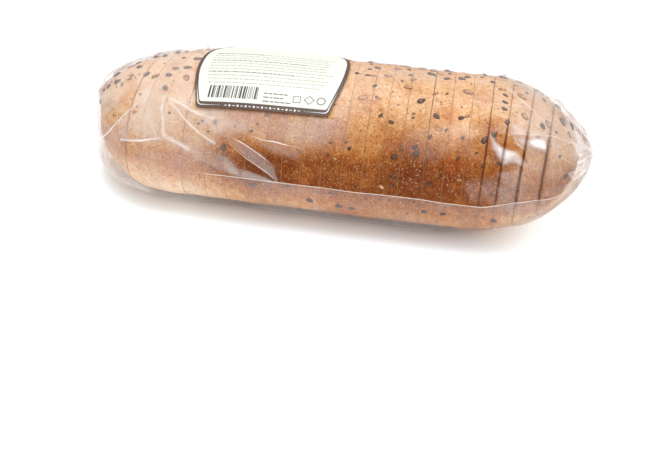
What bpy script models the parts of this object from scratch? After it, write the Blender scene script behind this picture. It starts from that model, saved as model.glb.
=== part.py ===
"""A sliced seeded loaf in a clear bag, lying on its flat foot, with a printed label on the film.

Frame: +X runs along the loaf towards the gathered end of the bag, -Y is the front, +Z is up.
The origin is on the surface that the bag lies on, under the middle of the object's box.
"""

import math
import random

import bmesh
import bpy
from mathutils import Matrix, Vector

MM = 0.001

# The filled bag, in millimetres
BAG_LENGTH = 284.0
BAG_WIDTH = 105.0
BAG_HEIGHT = 76.0
WIDEST_HEIGHT = 28.0          # height of the widest line above the table
FOOT_SINK = 1.05              # how far the rounded underside is pressed flat on the table
UPPER_POWER = 0.93            # roundness of the section above its widest line, 1 is an ellipse
LOWER_POWER = 0.70            # and below it, where less is squarer

# How fast each end rounds off, as the length of a quarter ellipse
LEFT_TOP_RUN = 107.0
LEFT_SIDE_RUN = 52.0
LEFT_WALL_TOP = 45.0          # the left end is a wall of film that hangs from this height
LEFT_WALL_FOOT = 8.0          # where its foot starts to tuck under
LEFT_TUCK_RUN = 9.0
RIGHT_TOP_RUN = 55.0
RIGHT_SIDE_RUN = 39.0
RIGHT_FOOT_RUN = 81.0
RIGHT_TIP_HEIGHT = 41.5       # height at which the film gathers at the right end
RIGHT_POWER = 1.56            # 2 is an ellipse, less is more pointed
RIGHT_FOOT_POWER = 1.4
TIP_SHARE = 0.05              # the smallest ring, as a share of the full section

# Slices under the film
SLICE = 10.7
FIRST_CUT = -109.2
CUT_COUNT = 22
SHOULDER = 1.4                # half the width of the groove over a cut
GROOVE_DEPTH = 0.8
SLICE_STEP = 0.45             # how far a slice may stand below its neighbour

# Folds of the film
PLEAT_COUNT = 11
PLEAT_DEPTH = 2.4
PLEAT_RUN = 34.0
SEAM_HEIGHT = 1.0             # the lengthwise lap of the film, at the widest line of the front
SEAM_ANGLE = 177.0
SEAM_END_ANGLE = 168.0        # the lap climbs towards the gathered end
FOLD_HEIGHT = 1.1
FOLD_WIDTH = 3.6

# Seeds that press against the film
SEED_SIZE = (2.9, 1.7, 1.1)   # half length, half width, half thickness
SEED_SIDES = 6
SEED_APART = 9.0
SCATTERED_SEEDS = 34          # most of them on the back
# seeds that stand out on the front and the crest, as (x, angle in degrees)
FRONT_SEEDS = [
    (-134, 78), (-127, 102), (-134, 108), (-118, 88), (-110, 101), (-96, 105), (-94, 117), (-88, 97),
    (13, 91), (20, 80), (36, 86), (46, 110), (55, 121), (57, 82), (67, 83), (89, 66), (88, 96),
    (88, 109), (91, 119), (86, 130), (79, 135), (45, 146), (35, 152), (120, 68), (121, 94), (129, 84),
    (109, 114), (126, 162), (80, 197), (91, 194),
]

# The label printed on the film, measured on the film's surface
LABEL_FOOT_WIDTH = 70.0
LABEL_MIDDLE_WIDTH = 83.0
LABEL_MIDDLE = -38.0
LABEL_FOOT_ANGLE = 132.0      # on the front
LABEL_TOP_ANGLE = 60.0        # over the crest, on the back
LABEL_TURN = -0.03            # degrees of angle for each mm along the loaf
LABEL_ARCH = 0.9              # how much the top edge is arched, 0 is square
LABEL_ARCH_POWER = 3.2
LABEL_CORNER = 2.5
LABEL_GAP = 0.35
LABEL_THICKNESS = 0.4

COLUMNS = 48
FOOT_COLUMNS = 5


def fullness(distance, run, power=2.0):
    """How full the section is at a distance from an end that rounds off over run."""
    share = min(max(distance / run, 0.0), 1.0)
    return (1.0 - (1.0 - share) ** power) ** (1.0 / power)


def ease(value):
    """A smooth step from 0 to 1."""
    value = min(max(value, 0.0), 1.0)
    return value * value * (3.0 - 2.0 * value)


def signed_power(value, power):
    return math.copysign(abs(value) ** power, value)


def section_sizes(x):
    """Half width, foot height, widest height and crest height of the film at x."""
    left = x + BAG_LENGTH / 2
    right = BAG_LENGTH / 2 - x
    side_right = max(fullness(right, RIGHT_SIDE_RUN, RIGHT_POWER), TIP_SHARE)
    half_width = BAG_WIDTH / 2 * min(max(fullness(left, LEFT_SIDE_RUN), TIP_SHARE), side_right)
    crest_left = LEFT_WALL_TOP + (BAG_HEIGHT - LEFT_WALL_TOP) * fullness(left, LEFT_TOP_RUN)
    crest_right = RIGHT_TIP_HEIGHT + (BAG_HEIGHT - RIGHT_TIP_HEIGHT) * max(
        fullness(right, RIGHT_TOP_RUN, RIGHT_POWER), TIP_SHARE)
    foot_left = LEFT_WALL_FOOT * (1.0 - ease(left / LEFT_TUCK_RUN))
    foot_right = RIGHT_TIP_HEIGHT * (1.0 - max(
        fullness(right, RIGHT_FOOT_RUN, RIGHT_FOOT_POWER), TIP_SHARE))
    crest, foot = min(crest_left, crest_right), max(foot_left, foot_right)
    widest = WIDEST_HEIGHT + (RIGHT_TIP_HEIGHT - WIDEST_HEIGHT) * (1.0 - side_right)
    return half_width, foot, min(max(widest, foot + 0.5), crest - 0.5), crest


def smooth_film(x, angle):
    """A point of the film without its relief. Angle 90 is the crest, 180 the front, 270 the foot."""
    half_width, foot, widest, crest = section_sizes(x)
    c, s = math.cos(angle), math.sin(angle)
    if s >= 0.0:
        y = half_width * signed_power(c, UPPER_POWER)
        z = widest + (crest - widest) * s ** UPPER_POWER
    else:
        # the squarish underside turns round towards the gathered end
        right = BAG_LENGTH / 2 - x
        power = 1.0 - (1.0 - LOWER_POWER) * ease((right - 12.0) / 50.0)
        y = half_width * signed_power(c, power)
        z = widest - (widest - foot) * abs(s) ** power * FOOT_SINK
    return Vector((x, y, max(z, foot if foot > 0.01 else 0.0)))


def outward(x, angle):
    """The direction in the section that points out of the film."""
    step = math.radians(1.0)
    run = smooth_film(x, angle + step) - smooth_film(x, angle - step)
    if run.length < 1e-9:
        return Vector((0.0, 0.0, math.copysign(1.0, math.sin(angle))))
    run.normalize()
    return Vector((0.0, run.z, -run.y))


def cling(x, angle):
    """1 where the film lies tight on the slices, 0 at its flat foot and at its free ends."""
    height = smooth_film(x, angle).z
    left = ease((x + BAG_LENGTH / 2 - 10.0) / 14.0)
    right = ease((BAG_LENGTH / 2 - x - 12.0) / 16.0)
    return ease((height - 6.0) / 16.0) * left * right


def slice_steps():
    """How far each slice stands below the film's smooth form, the same ones each time."""
    draw = random.Random(23)
    return [draw.uniform(0.0, SLICE_STEP) for _ in range(CUT_COUNT + 2)]


STEPS = slice_steps()


def slice_relief(x, angle):
    """Slices of slightly uneven size, with a groove over each cut."""
    along = (x - FIRST_CUT) / SLICE
    nearest = round(along)
    if not 0 <= nearest <= CUT_COUNT:
        return 0.0
    step = STEPS[min(max(math.floor(along) + 1, 0), CUT_COUNT + 1)]
    from_cut = abs(along - nearest) * SLICE
    groove = GROOVE_DEPTH * (1.0 - ease(from_cut / SHOULDER))
    return -(step + groove) * cling(x, angle)


def pleat_relief(x, angle):
    """Pleats that run in to the gathered end, some deeper than others."""
    right = BAG_LENGTH / 2 - x
    near = ease(1.0 - right / PLEAT_RUN) * ease(right / 9.0)
    uneven = 0.7 + 0.3 * math.cos(3.0 * angle + 0.8)
    return -PLEAT_DEPTH * near * uneven * (0.5 - 0.5 * math.cos(PLEAT_COUNT * angle + 0.4))


def ridge(distance, half_width):
    return ease(1.0 - abs(distance) / half_width)


def seam_relief(x, angle):
    """The lap where the film's two edges are welded, a low step along the lower front."""
    middle = SEAM_ANGLE + (SEAM_END_ANGLE - SEAM_ANGLE) * ease((x - 70.0) / 45.0)
    reach = ease((x + 70.0) / 20.0) * ease((BAG_LENGTH / 2 - x - 8.0) / 20.0)
    return SEAM_HEIGHT * ridge(math.degrees(angle) - middle, 6.5) * reach


# Tension folds at the left: start and end of each, as (x, angle in degrees)
FOLDS = [
    ((-133.0, 180.0), (-107.0, 115.0)),
    ((-114.0, 161.0), (-88.0, 155.0)),
    ((-88.0, 155.0), (-92.0, 126.0)),
    ((-88.0, 155.0), (-60.0, 167.0)),
    ((-89.0, 128.0), (-60.0, 143.0)),
    ((-57.0, 148.0), (-26.0, 175.0)),
]


def fold_relief(x, angle):
    """Low ridges of film, pulled tight between two points."""
    height = 0.0
    degrees = math.degrees(angle)
    for (x0, a0), (x1, a1) in FOLDS:
        # about 0.8 mm of surface for each degree
        run = Vector((x1 - x0, (a1 - a0) * 0.8))
        here = Vector((x - x0, (degrees - a0) * 0.8))
        share = min(max(here.dot(run) / run.length_squared, 0.0), 1.0)
        height = max(height, FOLD_HEIGHT * ridge((here - run * share).length, FOLD_WIDTH))
    return height


def film_point(x, angle):
    """A point of the film's outside, with the slices, pleats, seam and folds that show."""
    height = slice_relief(x, angle) + pleat_relief(x, angle)
    foot_clear = ease((smooth_film(x, angle).z - 1.0) / 8.0)
    height += max(seam_relief(x, angle), fold_relief(x, angle)) * foot_clear
    return smooth_film(x, angle) + outward(x, angle) * height * foot_clear


def column_angles():
    """Angles round the section, close together where the film shows and few on the foot."""
    foot_half = math.radians(52.0)
    low, high = -math.pi / 2 + foot_half, 3 * math.pi / 2 - foot_half
    shown = COLUMNS - FOOT_COLUMNS
    angles = [low + (high - low) * i / (shown - 1) for i in range(shown)]
    angles += [high + 2 * foot_half * (i + 1) / (FOOT_COLUMNS + 1) for i in range(FOOT_COLUMNS)]
    return angles


def stations():
    """Places along the loaf: three at each cut, and closer ones towards the ends."""
    found = [FIRST_CUT + i * SLICE + d for i in range(CUT_COUNT) for d in (-SHOULDER, 0.0, SHOULDER)]
    # one more in the middle of each slice where folds cross
    found += [FIRST_CUT + (i + 0.5) * SLICE for i in range(CUT_COUNT) if FIRST_CUT + i * SLICE < -20.0]
    found += [-BAG_LENGTH / 2 + d for d in (0.0, 0.8, 2.4, 5.0, 8.5, 13.0, 18.0, 23.5, 28.0)]
    found += [BAG_LENGTH / 2 - d for d in (0.0, 0.8, 2.4, 5.0, 8.5, 12.0, 16.0, 20.5)]
    return sorted(found)


def material(name, colour, roughness, metallic=0.0):
    made = bpy.data.materials.new(name)
    made.use_nodes = True
    shader = made.node_tree.nodes["Principled BSDF"]
    shader.inputs["Base Color"].default_value = (*colour, 1.0)
    shader.inputs["Roughness"].default_value = roughness
    shader.inputs["Metallic"].default_value = metallic
    return made


def new_object(name, mesh, finish):
    made = bpy.data.objects.new(name, mesh)
    bpy.context.scene.collection.objects.link(made)
    made.data.materials.append(finish)
    return made


def finish_mesh(bm, name):
    bmesh.ops.recalc_face_normals(bm, faces=bm.faces)
    mesh = bpy.data.meshes.new(name)
    bm.to_mesh(mesh)
    bm.free()
    mesh.shade_smooth()
    mesh.set_sharp_from_angle(angle=math.radians(40.0))
    return mesh


def skin(rings, name):
    """A closed mesh over rings of points, with a fan over each end ring."""
    bm = bmesh.new()
    loops = [[bm.verts.new(p * MM) for p in ring] for ring in rings]
    count = len(loops[0])
    for first, second in zip(loops, loops[1:]):
        for i in range(count):
            j = (i + 1) % count
            bm.faces.new((first[i], first[j], second[j], second[i]))
    for loop in (loops[0], loops[-1]):
        middle = bm.verts.new(sum((v.co for v in loop), Vector()) / count)
        for i in range(count):
            bm.faces.new((loop[i], loop[(i + 1) % count], middle))
    return finish_mesh(bm, name)


def build_bag(finish):
    angles = column_angles()
    rings = [[film_point(x, a) for a in angles] for x in stations()]
    return new_object("bag", skin(rings, "bag"), finish)


def label_half_width(share):
    """Half the label's width at a share of its height, 0 at its foot and 1 at its top."""
    spread = math.sin(math.pi / 2 * min(share / 0.5, 1.0))
    half = (LABEL_FOOT_WIDTH + (LABEL_MIDDLE_WIDTH - LABEL_FOOT_WIDTH) * spread) / 2
    over = max(0.0, (share - 0.5) / 0.5)
    half *= math.sqrt(1.0 - LABEL_ARCH * over ** LABEL_ARCH_POWER)
    return half - LABEL_CORNER * (1.0 - fullness(share, 0.05))


def label_angle(x, share):
    degrees = LABEL_FOOT_ANGLE + (LABEL_TOP_ANGLE - LABEL_FOOT_ANGLE) * share
    return math.radians(degrees + LABEL_TURN * (x - LABEL_MIDDLE))


def under_label(x, angle, margin):
    """True if a point of the film is under the label or within margin of it."""
    foot, top = label_angle(x, 0.0), label_angle(x, 1.0)
    share = (foot - angle) / (foot - top)
    edge = margin / 60.0
    if not -edge < share < 1.0 + edge:
        return False
    return abs(x - LABEL_MIDDLE) < label_half_width(min(max(share, 0.1), 1.0)) + margin


def build_label(finish):
    """A thin sheet that bridges the grooves between the slices."""
    rows, columns = 18, 14
    bm = bmesh.new()
    sheets = []
    for lift in (LABEL_GAP, LABEL_GAP + LABEL_THICKNESS):
        grid = []
        for r in range(rows + 1):
            share = 0.5 - 0.5 * math.cos(math.pi * r / rows)
            half = label_half_width(share)
            line = []
            for c in range(columns + 1):
                x = LABEL_MIDDLE + half * (2.0 * c / columns - 1.0)
                angle = label_angle(x, share)
                line.append(bm.verts.new((smooth_film(x, angle) + outward(x, angle) * lift) * MM))
            grid.append(line)
        sheets.append(grid)
    inner, outer = sheets
    for r in range(rows):
        for c in range(columns):
            for grid in sheets:
                bm.faces.new((grid[r][c], grid[r][c + 1], grid[r + 1][c + 1], grid[r + 1][c]))
    for c in range(columns):
        for r in (0, rows):
            bm.faces.new((inner[r][c], inner[r][c + 1], outer[r][c + 1], outer[r][c]))
    for r in range(rows):
        for c in (0, columns):
            bm.faces.new((inner[r][c], inner[r + 1][c], outer[r + 1][c], outer[r][c]))
    return new_object("label", finish_mesh(bm, "label"), finish)


def seed_mesh():
    """A low teardrop seed with few sides."""
    bm = bmesh.new()
    bmesh.ops.create_uvsphere(bm, u_segments=SEED_SIDES, v_segments=4, radius=1.0)
    for v in bm.verts:
        pinch = 1.0 - 0.25 * v.co.x
        v.co = Vector((v.co.x * SEED_SIZE[0], v.co.y * SEED_SIZE[1] * pinch, v.co.z * SEED_SIZE[2])) * MM
    return finish_mesh(bm, "seed")


def seed_places():
    """The seeds of the front, then others well apart and clear of the label and the foot."""
    draw = random.Random(7)

    def place(x, degrees):
        angle = math.radians(degrees)
        return smooth_film(x, angle), x, angle, draw.uniform(0.0, math.pi), draw.uniform(0.8, 1.15)

    kept = [place(x, degrees) for x, degrees in FRONT_SEEDS]
    total = len(kept) + SCATTERED_SEEDS
    while len(kept) < total:
        seed = place(draw.uniform(-124.0, 122.0), draw.uniform(8.0, 150.0))
        along = (seed[1] - FIRST_CUT) / SLICE
        if abs(along - round(along)) * SLICE < SHOULDER + 1.0 or under_label(seed[1], seed[2], 6.0):
            continue
        if all((seed[0] - other[0]).length > SEED_APART for other in kept):
            kept.append(seed)
    return kept


def fuse_seeds(bag, finish):
    """Joins the seeds to the bag with one union over a collection."""
    shape = seed_mesh()
    group = bpy.data.collections.new("seeds")
    bpy.context.scene.collection.children.link(group)
    for i, (point, x, angle, spin, size) in enumerate(seed_places()):
        seed = bpy.data.objects.new(f"seed_{i:02d}", shape)
        up = outward(x, angle)
        side = Vector((1.0, 0.0, 0.0))
        turn = Matrix((side, up.cross(side), up)).transposed()
        turn = turn @ Matrix.Rotation(spin, 3, "Z")
        place = point + up * 0.1
        seed.matrix_world = Matrix.LocRotScale(place * MM, turn.to_quaternion(), Vector((size,) * 3))
        group.objects.link(seed)
    bpy.context.view_layer.update()
    join = bag.modifiers.new("seeds", "BOOLEAN")
    join.operation = "UNION"
    join.operand_type = "COLLECTION"
    join.collection = group
    join.solver = "EXACT"
    evaluated = bag.evaluated_get(bpy.context.evaluated_depsgraph_get())
    joined = bpy.data.meshes.new_from_object(evaluated)
    bag.modifiers.clear()
    bag.data = joined
    bag.data.name = "bag"
    bag.data.materials.clear()
    bag.data.materials.append(finish)
    for seed in list(group.objects):
        bpy.data.objects.remove(seed)
    bpy.data.collections.remove(group)


def main():
    for old in list(bpy.data.objects):
        bpy.data.objects.remove(old)
    crust = material("bread_under_film", (0.60, 0.33, 0.15), 0.35)
    paper = material("label_print", (0.88, 0.86, 0.74), 0.45)
    bag = build_bag(crust)
    fuse_seeds(bag, crust)
    build_label(paper)


main()
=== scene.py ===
# %% [markdown]
# # A sliced seeded loaf in a clear bag
#
# The object is a long loaf, cut into thin slices that still stand together, in a tight bag of clear film.
# A label is printed on the film. The solid model of it is loaded first, as a fixed frame. It holds the size
# and the outline. This script makes the looks: the slices with their crust, the seeds, the film with its
# folds, and the print.
#
# All lengths are in millimetres until a mesh is made, because that is how a baker would measure a slice.

# %% Load the frame
import math
import random

import bmesh
import bpy
import numpy as np
from mathutils import Matrix, Vector


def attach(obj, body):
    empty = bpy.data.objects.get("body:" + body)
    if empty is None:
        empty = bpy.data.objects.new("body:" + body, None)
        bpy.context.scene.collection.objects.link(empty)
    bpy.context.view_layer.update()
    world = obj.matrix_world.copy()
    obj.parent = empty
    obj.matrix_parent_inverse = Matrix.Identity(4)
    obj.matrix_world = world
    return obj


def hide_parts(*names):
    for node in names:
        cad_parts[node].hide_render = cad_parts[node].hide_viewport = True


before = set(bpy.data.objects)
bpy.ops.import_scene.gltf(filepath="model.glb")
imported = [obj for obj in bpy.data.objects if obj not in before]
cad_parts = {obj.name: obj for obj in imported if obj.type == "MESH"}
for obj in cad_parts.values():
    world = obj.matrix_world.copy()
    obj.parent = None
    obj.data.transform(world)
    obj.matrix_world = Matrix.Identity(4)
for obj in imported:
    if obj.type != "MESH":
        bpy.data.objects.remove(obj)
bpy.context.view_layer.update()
MM = 0.001

# %% [markdown]
# ## The camera
#
# The photographer stood in front of the loaf, looked down on it by 35 degrees, and stood a little to the
# right of its middle. The camera is given by three things: where it is, where it looks, and how far it
# leans. The lens is 55 mm, for a picture 36 mm wide, which is a normal view with little distortion.

# %% Camera
CAMERA_PLACE = (58.8, -495.7, 320.6)
CAMERA_TURN = 7.4             # degrees round to the right of the loaf's front
CAMERA_DOWN = 35.0
CAMERA_LEAN = 3.0
LENS = 55.4


def make_camera():
    down, turn = math.radians(CAMERA_DOWN), math.radians(CAMERA_TURN)
    looks = Vector((-math.sin(turn) * math.cos(down), math.cos(turn) * math.cos(down), -math.sin(down)))
    data = bpy.data.cameras.new("camera")
    data.lens, data.sensor_width = LENS, 36.0
    data.clip_start, data.clip_end = 0.02, 20.0
    camera = bpy.data.objects.new("camera", data)
    bpy.context.scene.collection.objects.link(camera)
    aim = looks.to_track_quat("-Z", "Y").to_matrix().to_4x4()
    lean = Matrix.Rotation(math.radians(CAMERA_LEAN), 4, "Z")
    camera.matrix_world = Matrix.Translation(Vector(CAMERA_PLACE) * MM) @ aim @ lean
    bpy.context.scene.camera = camera
    return camera


camera = make_camera()
print("camera at", [round(v, 3) for v in camera.location])

# %% [markdown]
# ## Studio: floor, sky and lamps
#
# Food is often shot on white, with large soft lights all round, so shadows are faint and the background
# burns out. A bright even world gives that, with a floor that glows a little by itself, as a light table
# does. Its glow is cut where something stands close over it, which paints a narrow contact shadow. One
# large soft lamp hangs over the loaf, a little behind it, and gives the pale crest. A wide weak lamp stands
# in front and opens the shadows.

# %% Colours, floor and lamps


def paint(code):
    """A screen colour such as 'e1b48c' as linear red, green, blue and alpha."""
    screen = [int(code[i:i + 2], 16) / 255 for i in (0, 2, 4)]
    linear = [c / 12.92 if c <= 0.04045 else ((c + 0.055) / 1.055) ** 2.4 for c in screen]
    return (*linear, 1.0)


WORLD_LIGHT = 0.56
# the floor glows by itself, and close under things its glow is cut to a painted shadow
TABLE_GLOW = 0.52             # the table is a light table
SHADE_REACH = 15.0            # how close something has to be to shade the table's own light
TABLE_LIGHT = (0.74, 0.91, 1.0, 1.0)
TABLE_HALF = 4.0              # metres
LAMPS_AIM = (0.0, 0.0, 30.0)
LAMPS = [
    # name, place, size, watts
    ("sky_lamp", (60.0, 90.0, 950.0), 900.0, 7.5),
    ("front_lamp", (-100.0, -1150.0, 520.0), 1300.0, 4.0),
]


def make_studio():
    scene = bpy.context.scene
    scene.view_settings.view_transform = "Standard"
    world = bpy.data.worlds.new("white_studio")
    world.use_nodes = True
    world.node_tree.nodes["Background"].inputs["Color"].default_value = (1.0, 1.0, 1.0, 1.0)
    world.node_tree.nodes["Background"].inputs["Strength"].default_value = WORLD_LIGHT
    scene.world = world
    for name, place, size, watts in LAMPS:
        data = bpy.data.lights.new(name, "AREA")
        data.shape, data.size, data.energy = "SQUARE", size * MM, watts
        lamp = bpy.data.objects.new(name, data)
        scene.collection.objects.link(lamp)
        lamp.location = Vector(place) * MM
        lamp.rotation_euler = (Vector(LAMPS_AIM) * MM - lamp.location).to_track_quat("-Z", "Y").to_euler()


def make_floor():
    bm = bmesh.new()
    bmesh.ops.create_grid(bm, x_segments=1, y_segments=1, size=TABLE_HALF)
    mesh = bpy.data.meshes.new("floor")
    bm.to_mesh(mesh)
    bm.free()
    floor = bpy.data.objects.new("floor", mesh)
    bpy.context.scene.collection.objects.link(floor)
    white = bpy.data.materials.new("white_floor")
    white.use_nodes = True
    nodes, links = white.node_tree.nodes, white.node_tree.links
    shader = nodes["Principled BSDF"]
    # the floor's glow is cut where something stands close over it: a painted contact shadow, narrow and deep
    painted_shadow_mask, glow = nodes.new("ShaderNodeAmbientOcclusion"), nodes.new("ShaderNodeMath")
    painted_shadow_mask.inputs["Distance"].default_value = SHADE_REACH * MM
    glow.operation = "MULTIPLY"
    glow.inputs[1].default_value = TABLE_GLOW
    links.new(painted_shadow_mask.outputs["AO"], glow.inputs[0])
    links.new(glow.outputs[0], shader.inputs["Emission Strength"])
    shader.inputs["Base Color"].default_value = (0.95, 0.95, 0.95, 1.0)
    shader.inputs["Roughness"].default_value = 0.6
    shader.inputs["Specular IOR Level"].default_value = 0.0
    shader.inputs["Emission Color"].default_value = TABLE_LIGHT
    mesh.materials.append(white)
    return floor


make_studio()
make_floor()
print("lamps:", ", ".join(name for name, *_ in LAMPS))

# %% [markdown]
# ## One rule for the form
#
# The film and the loaf in it have the same kind of shape: a rounded bar with a flat foot, which tapers at
# both ends. So one function makes both, from a small table of sizes. A point on the skin is named by two
# numbers: x, the place along the loaf, and an angle round it. 90 degrees is the crest, 180 the front and
# 270 the foot. Everything that lies on the loaf, such as a seed or the label, can be placed by these two
# numbers, and it then follows the skin by itself.

# %% The form of the film and of the loaf
FILM = {
    "left": -142.0, "right": 142.0, "width": 105.0, "height": 76.0, "widest": 28.0, "foot": 0.0,
    "left_top_run": 107.0, "left_side_run": 52.0, "left_end_top": 45.0,
    "left_end_foot": 8.0, "left_foot_run": 9.0, "left_foot_power": 2.0,
    "right_top_run": 55.0, "right_side_run": 39.0, "right_foot_run": 81.0, "right_end": 41.5,
    "right_power": 1.56, "right_foot_power": 1.4, "upper": 0.93, "lower": 0.70, "sink": 1.05,
}
LOAF = {
    "left": -139.5, "right": 134.5, "width": 102.2, "height": 74.6, "widest": 29.0, "foot": 0.9,
    "left_top_run": 107.0, "left_side_run": 55.0, "left_end_top": 43.5,
    "left_end_foot": 38.0, "left_foot_run": 40.0, "left_foot_power": 1.6,
    "right_top_run": 54.0, "right_side_run": 38.0, "right_foot_run": 66.0, "right_end": 40.0,
    "right_power": 1.8, "right_foot_power": 1.6, "upper": 0.93, "lower": 0.80, "sink": 1.03,
}
SMALLEST_RING = 0.05


def ease(value):
    """A smooth step from 0 to 1."""
    value = np.clip(value, 0.0, 1.0)
    return value * value * (3.0 - 2.0 * value)


def bell(away, reach, power=2):
    """1 where away is 0, falling smoothly to nothing at about twice the reach."""
    return np.exp(-(away / reach) ** power)


def fullness(distance, run, power=2.0):
    """How full the section is at a distance from an end that rounds off over run."""
    share = np.clip(distance / run, 0.0, 1.0)
    return (1.0 - (1.0 - share) ** power) ** (1.0 / power)


def sections(form, x):
    """Half width, foot, widest height and crest height at each x."""
    left, right = x - form["left"], form["right"] - x
    side_right = np.maximum(fullness(right, form["right_side_run"], form["right_power"]), SMALLEST_RING)
    side_left = np.maximum(fullness(left, form["left_side_run"]), SMALLEST_RING)
    half_width = form["width"] / 2 * np.minimum(side_left, side_right)
    end_top, end, height = form["left_end_top"], form["right_end"], form["height"]
    crest_left = end_top + (height - end_top) * fullness(left, form["left_top_run"])
    crest_right = end + (height - end) * np.maximum(
        fullness(right, form["right_top_run"], form["right_power"]), SMALLEST_RING)
    foot_left = form["left_end_foot"] * (
        1.0 - fullness(left, form["left_foot_run"], form["left_foot_power"]))
    foot_right = end * (1.0 - np.maximum(
        fullness(right, form["right_foot_run"], form["right_foot_power"]), SMALLEST_RING))
    crest = np.minimum(crest_left, crest_right)
    foot = np.maximum(np.maximum(foot_left, foot_right), form["foot"])
    widest = form["widest"] + (end - form["widest"]) * (1.0 - side_right)
    widest = np.minimum(np.maximum(widest, foot + 0.5), crest - 0.5)
    return half_width, foot, widest, crest


def skin(form, x, angle):
    """Points of the form's skin, in millimetres, for arrays of x and of angles in degrees."""
    x, angle = np.broadcast_arrays(np.asarray(x, float), np.radians(np.asarray(angle, float)))
    half_width, foot, widest, crest = sections(form, x)
    c, s = np.cos(angle), np.sin(angle)
    above = s >= 0.0
    turn_round = ease((form["right"] - x - 12.0) / 50.0)
    lower = 1.0 - (1.0 - form["lower"]) * turn_round
    power = np.where(above, form["upper"], lower)
    y = half_width * np.sign(c) * np.abs(c) ** power
    rise = np.abs(s) ** power
    z = np.where(above, widest + (crest - widest) * rise, widest - (widest - foot) * rise * form["sink"])
    return np.stack([x, y, np.maximum(z, foot)], -1)


def outward(form, x, angle):
    """Unit vectors that point out of the skin."""
    dx, da = 0.4, 0.6
    x = np.clip(x, form["left"] + dx, form["right"] - dx)
    along = skin(form, x + dx, angle) - skin(form, x - dx, angle)
    round_it = skin(form, x, angle + da) - skin(form, x, angle - da)
    normal = np.cross(round_it, along)
    return normal / np.maximum(np.linalg.norm(normal, axis=-1, keepdims=True), 1e-9)


crest_point = skin(FILM, 0.0, 90.0)
print("the film's crest at the middle:", crest_point.round(1))
print("it faces", outward(FILM, 0.0, 90.0).round(2))

# %% [markdown]
# ## Unevenness
#
# Bread is never smooth and film is never flat. Both get low hills: random heights on a grid of points in
# space, with smooth slopes between them. The same seed number gives the same hills on every run.

# %% Hills


def lattice(i, j, k, seed):
    """A repeatable random number between -1 and 1 for each whole-number point."""
    mixed = (i * 374761393 + j * 668265263 + k * 2147483647 + seed * 1274126177) & 0xFFFFFFFF
    mixed = ((mixed ^ (mixed >> 13)) * 1103515245) & 0xFFFFFFFF
    return ((mixed ^ (mixed >> 16)) & 0xFFFF) / 32767.5 - 1.0


def hills(points, size, seed):
    """Smooth random hills, between -1 and 1, about size millimetres apart."""
    scaled = np.asarray(points, float) / size
    cell = np.floor(scaled).astype(np.int64)
    share = scaled - cell
    share = share * share * (3.0 - 2.0 * share)
    total = 0.0
    for corner in range(8):
        step = np.array([corner & 1, (corner >> 1) & 1, corner >> 2])
        weight = np.prod(np.where(step == 1, share, 1.0 - share), axis=-1)
        i, j, k = np.moveaxis(cell + step, -1, 0)
        total = total + weight * lattice(i, j, k, seed)
    return total


sample = hills(skin(FILM, np.linspace(-100, 100, 500), 90.0), 12.0, 1)
print("hills reach from", round(float(sample.min()), 2), "to", round(float(sample.max()), 2))

# %% [markdown]
# ## Meshes from rings
#
# Slices, film and label are all made of rows of points. These helpers join the rows with faces, close the
# ends, and make an object of the result.

# %% Mesh helpers


def ring_faces(rows, columns, closed=True):
    """Faces between rows of points that are numbered one row after another."""
    r, c = np.meshgrid(np.arange(rows - 1), np.arange(columns if closed else columns - 1), indexing="ij")
    here, after = r * columns, (c + 1) % columns
    corners = [here + c, here + after, here + columns + after, here + columns + c]
    return np.stack(corners, -1).reshape(-1, 4).tolist()


def fan(ring, middle, turned=False):
    """Triangles from a ring of point numbers to the number of its middle point."""
    pairs = zip(ring, ring[1:] + ring[:1])
    return [(b, a, middle) if turned else (a, b, middle) for a, b in pairs]


def closed_skin(rings, ends=None):
    """Points and faces of rows of rings. A fan round a middle point closes each end."""
    rows, columns = rings.shape[:2]
    count = rows * columns
    faces = ring_faces(rows, columns)
    faces += fan(list(range(columns)), count, turned=True)
    faces += fan(list(range(count - columns, count)), count + 1)
    if ends is None:
        ends = [rings[0].mean(axis=0), rings[-1].mean(axis=0)]
    return np.concatenate([rings.reshape(-1, 3), ends]), faces


def bare_mesh(name, points, edges=(), faces=()):
    """A mesh in metres, of points in millimetres."""
    mesh = bpy.data.meshes.new(name)
    mesh.from_pydata([tuple(p) for p in (np.asarray(points) * MM).tolist()], list(edges), list(faces))
    return mesh


def link_object(name, mesh):
    made = bpy.data.objects.new(name, mesh)
    bpy.context.scene.collection.objects.link(made)
    return made


def make_object(name, points, faces, materials, face_slots=None):
    """An object with smooth shading and faces outward."""
    mesh = bare_mesh(name, points, faces=faces)
    for finish in materials:
        mesh.materials.append(finish)
    if face_slots is not None:
        mesh.polygons.foreach_set("material_index", np.asarray(face_slots, dtype=np.int32))
    mesh.shade_smooth()
    mesh.validate()
    return link_object(name, mesh)


def add_values(mesh, name, values, kind="FLOAT"):
    """A number or a vector for each point, which a material or a node tree can read by its name."""
    layer = mesh.attributes.new(name, kind, "POINT")
    layer.data.foreach_set("value" if kind == "FLOAT" else "vector", np.asarray(values, np.float32).ravel())


def finish_piece(piece):
    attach(piece, "root")
    return piece


# %% [markdown]
# ## Materials: the crust
#
# The crust of a loaf like this is palest on the crest, where flour dries on it, and browner down the sides.
# That darkening down the sides, strongest low on the front, is partly how brown the crust baked and partly
# painted shade. One number for each point says how dark the crust is painted there. The material mixes four
# colours by it. Four sizes of noise break the colour up first, from broad clouds to fine grain, and small
# dots stand for bran and flour. Deep in the cuts that stand open the crust is painted dark brown, as painted
# shade. The same noise drives a small bump, so the crust isn't as smooth as plastic.

# %% Material tools


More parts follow.
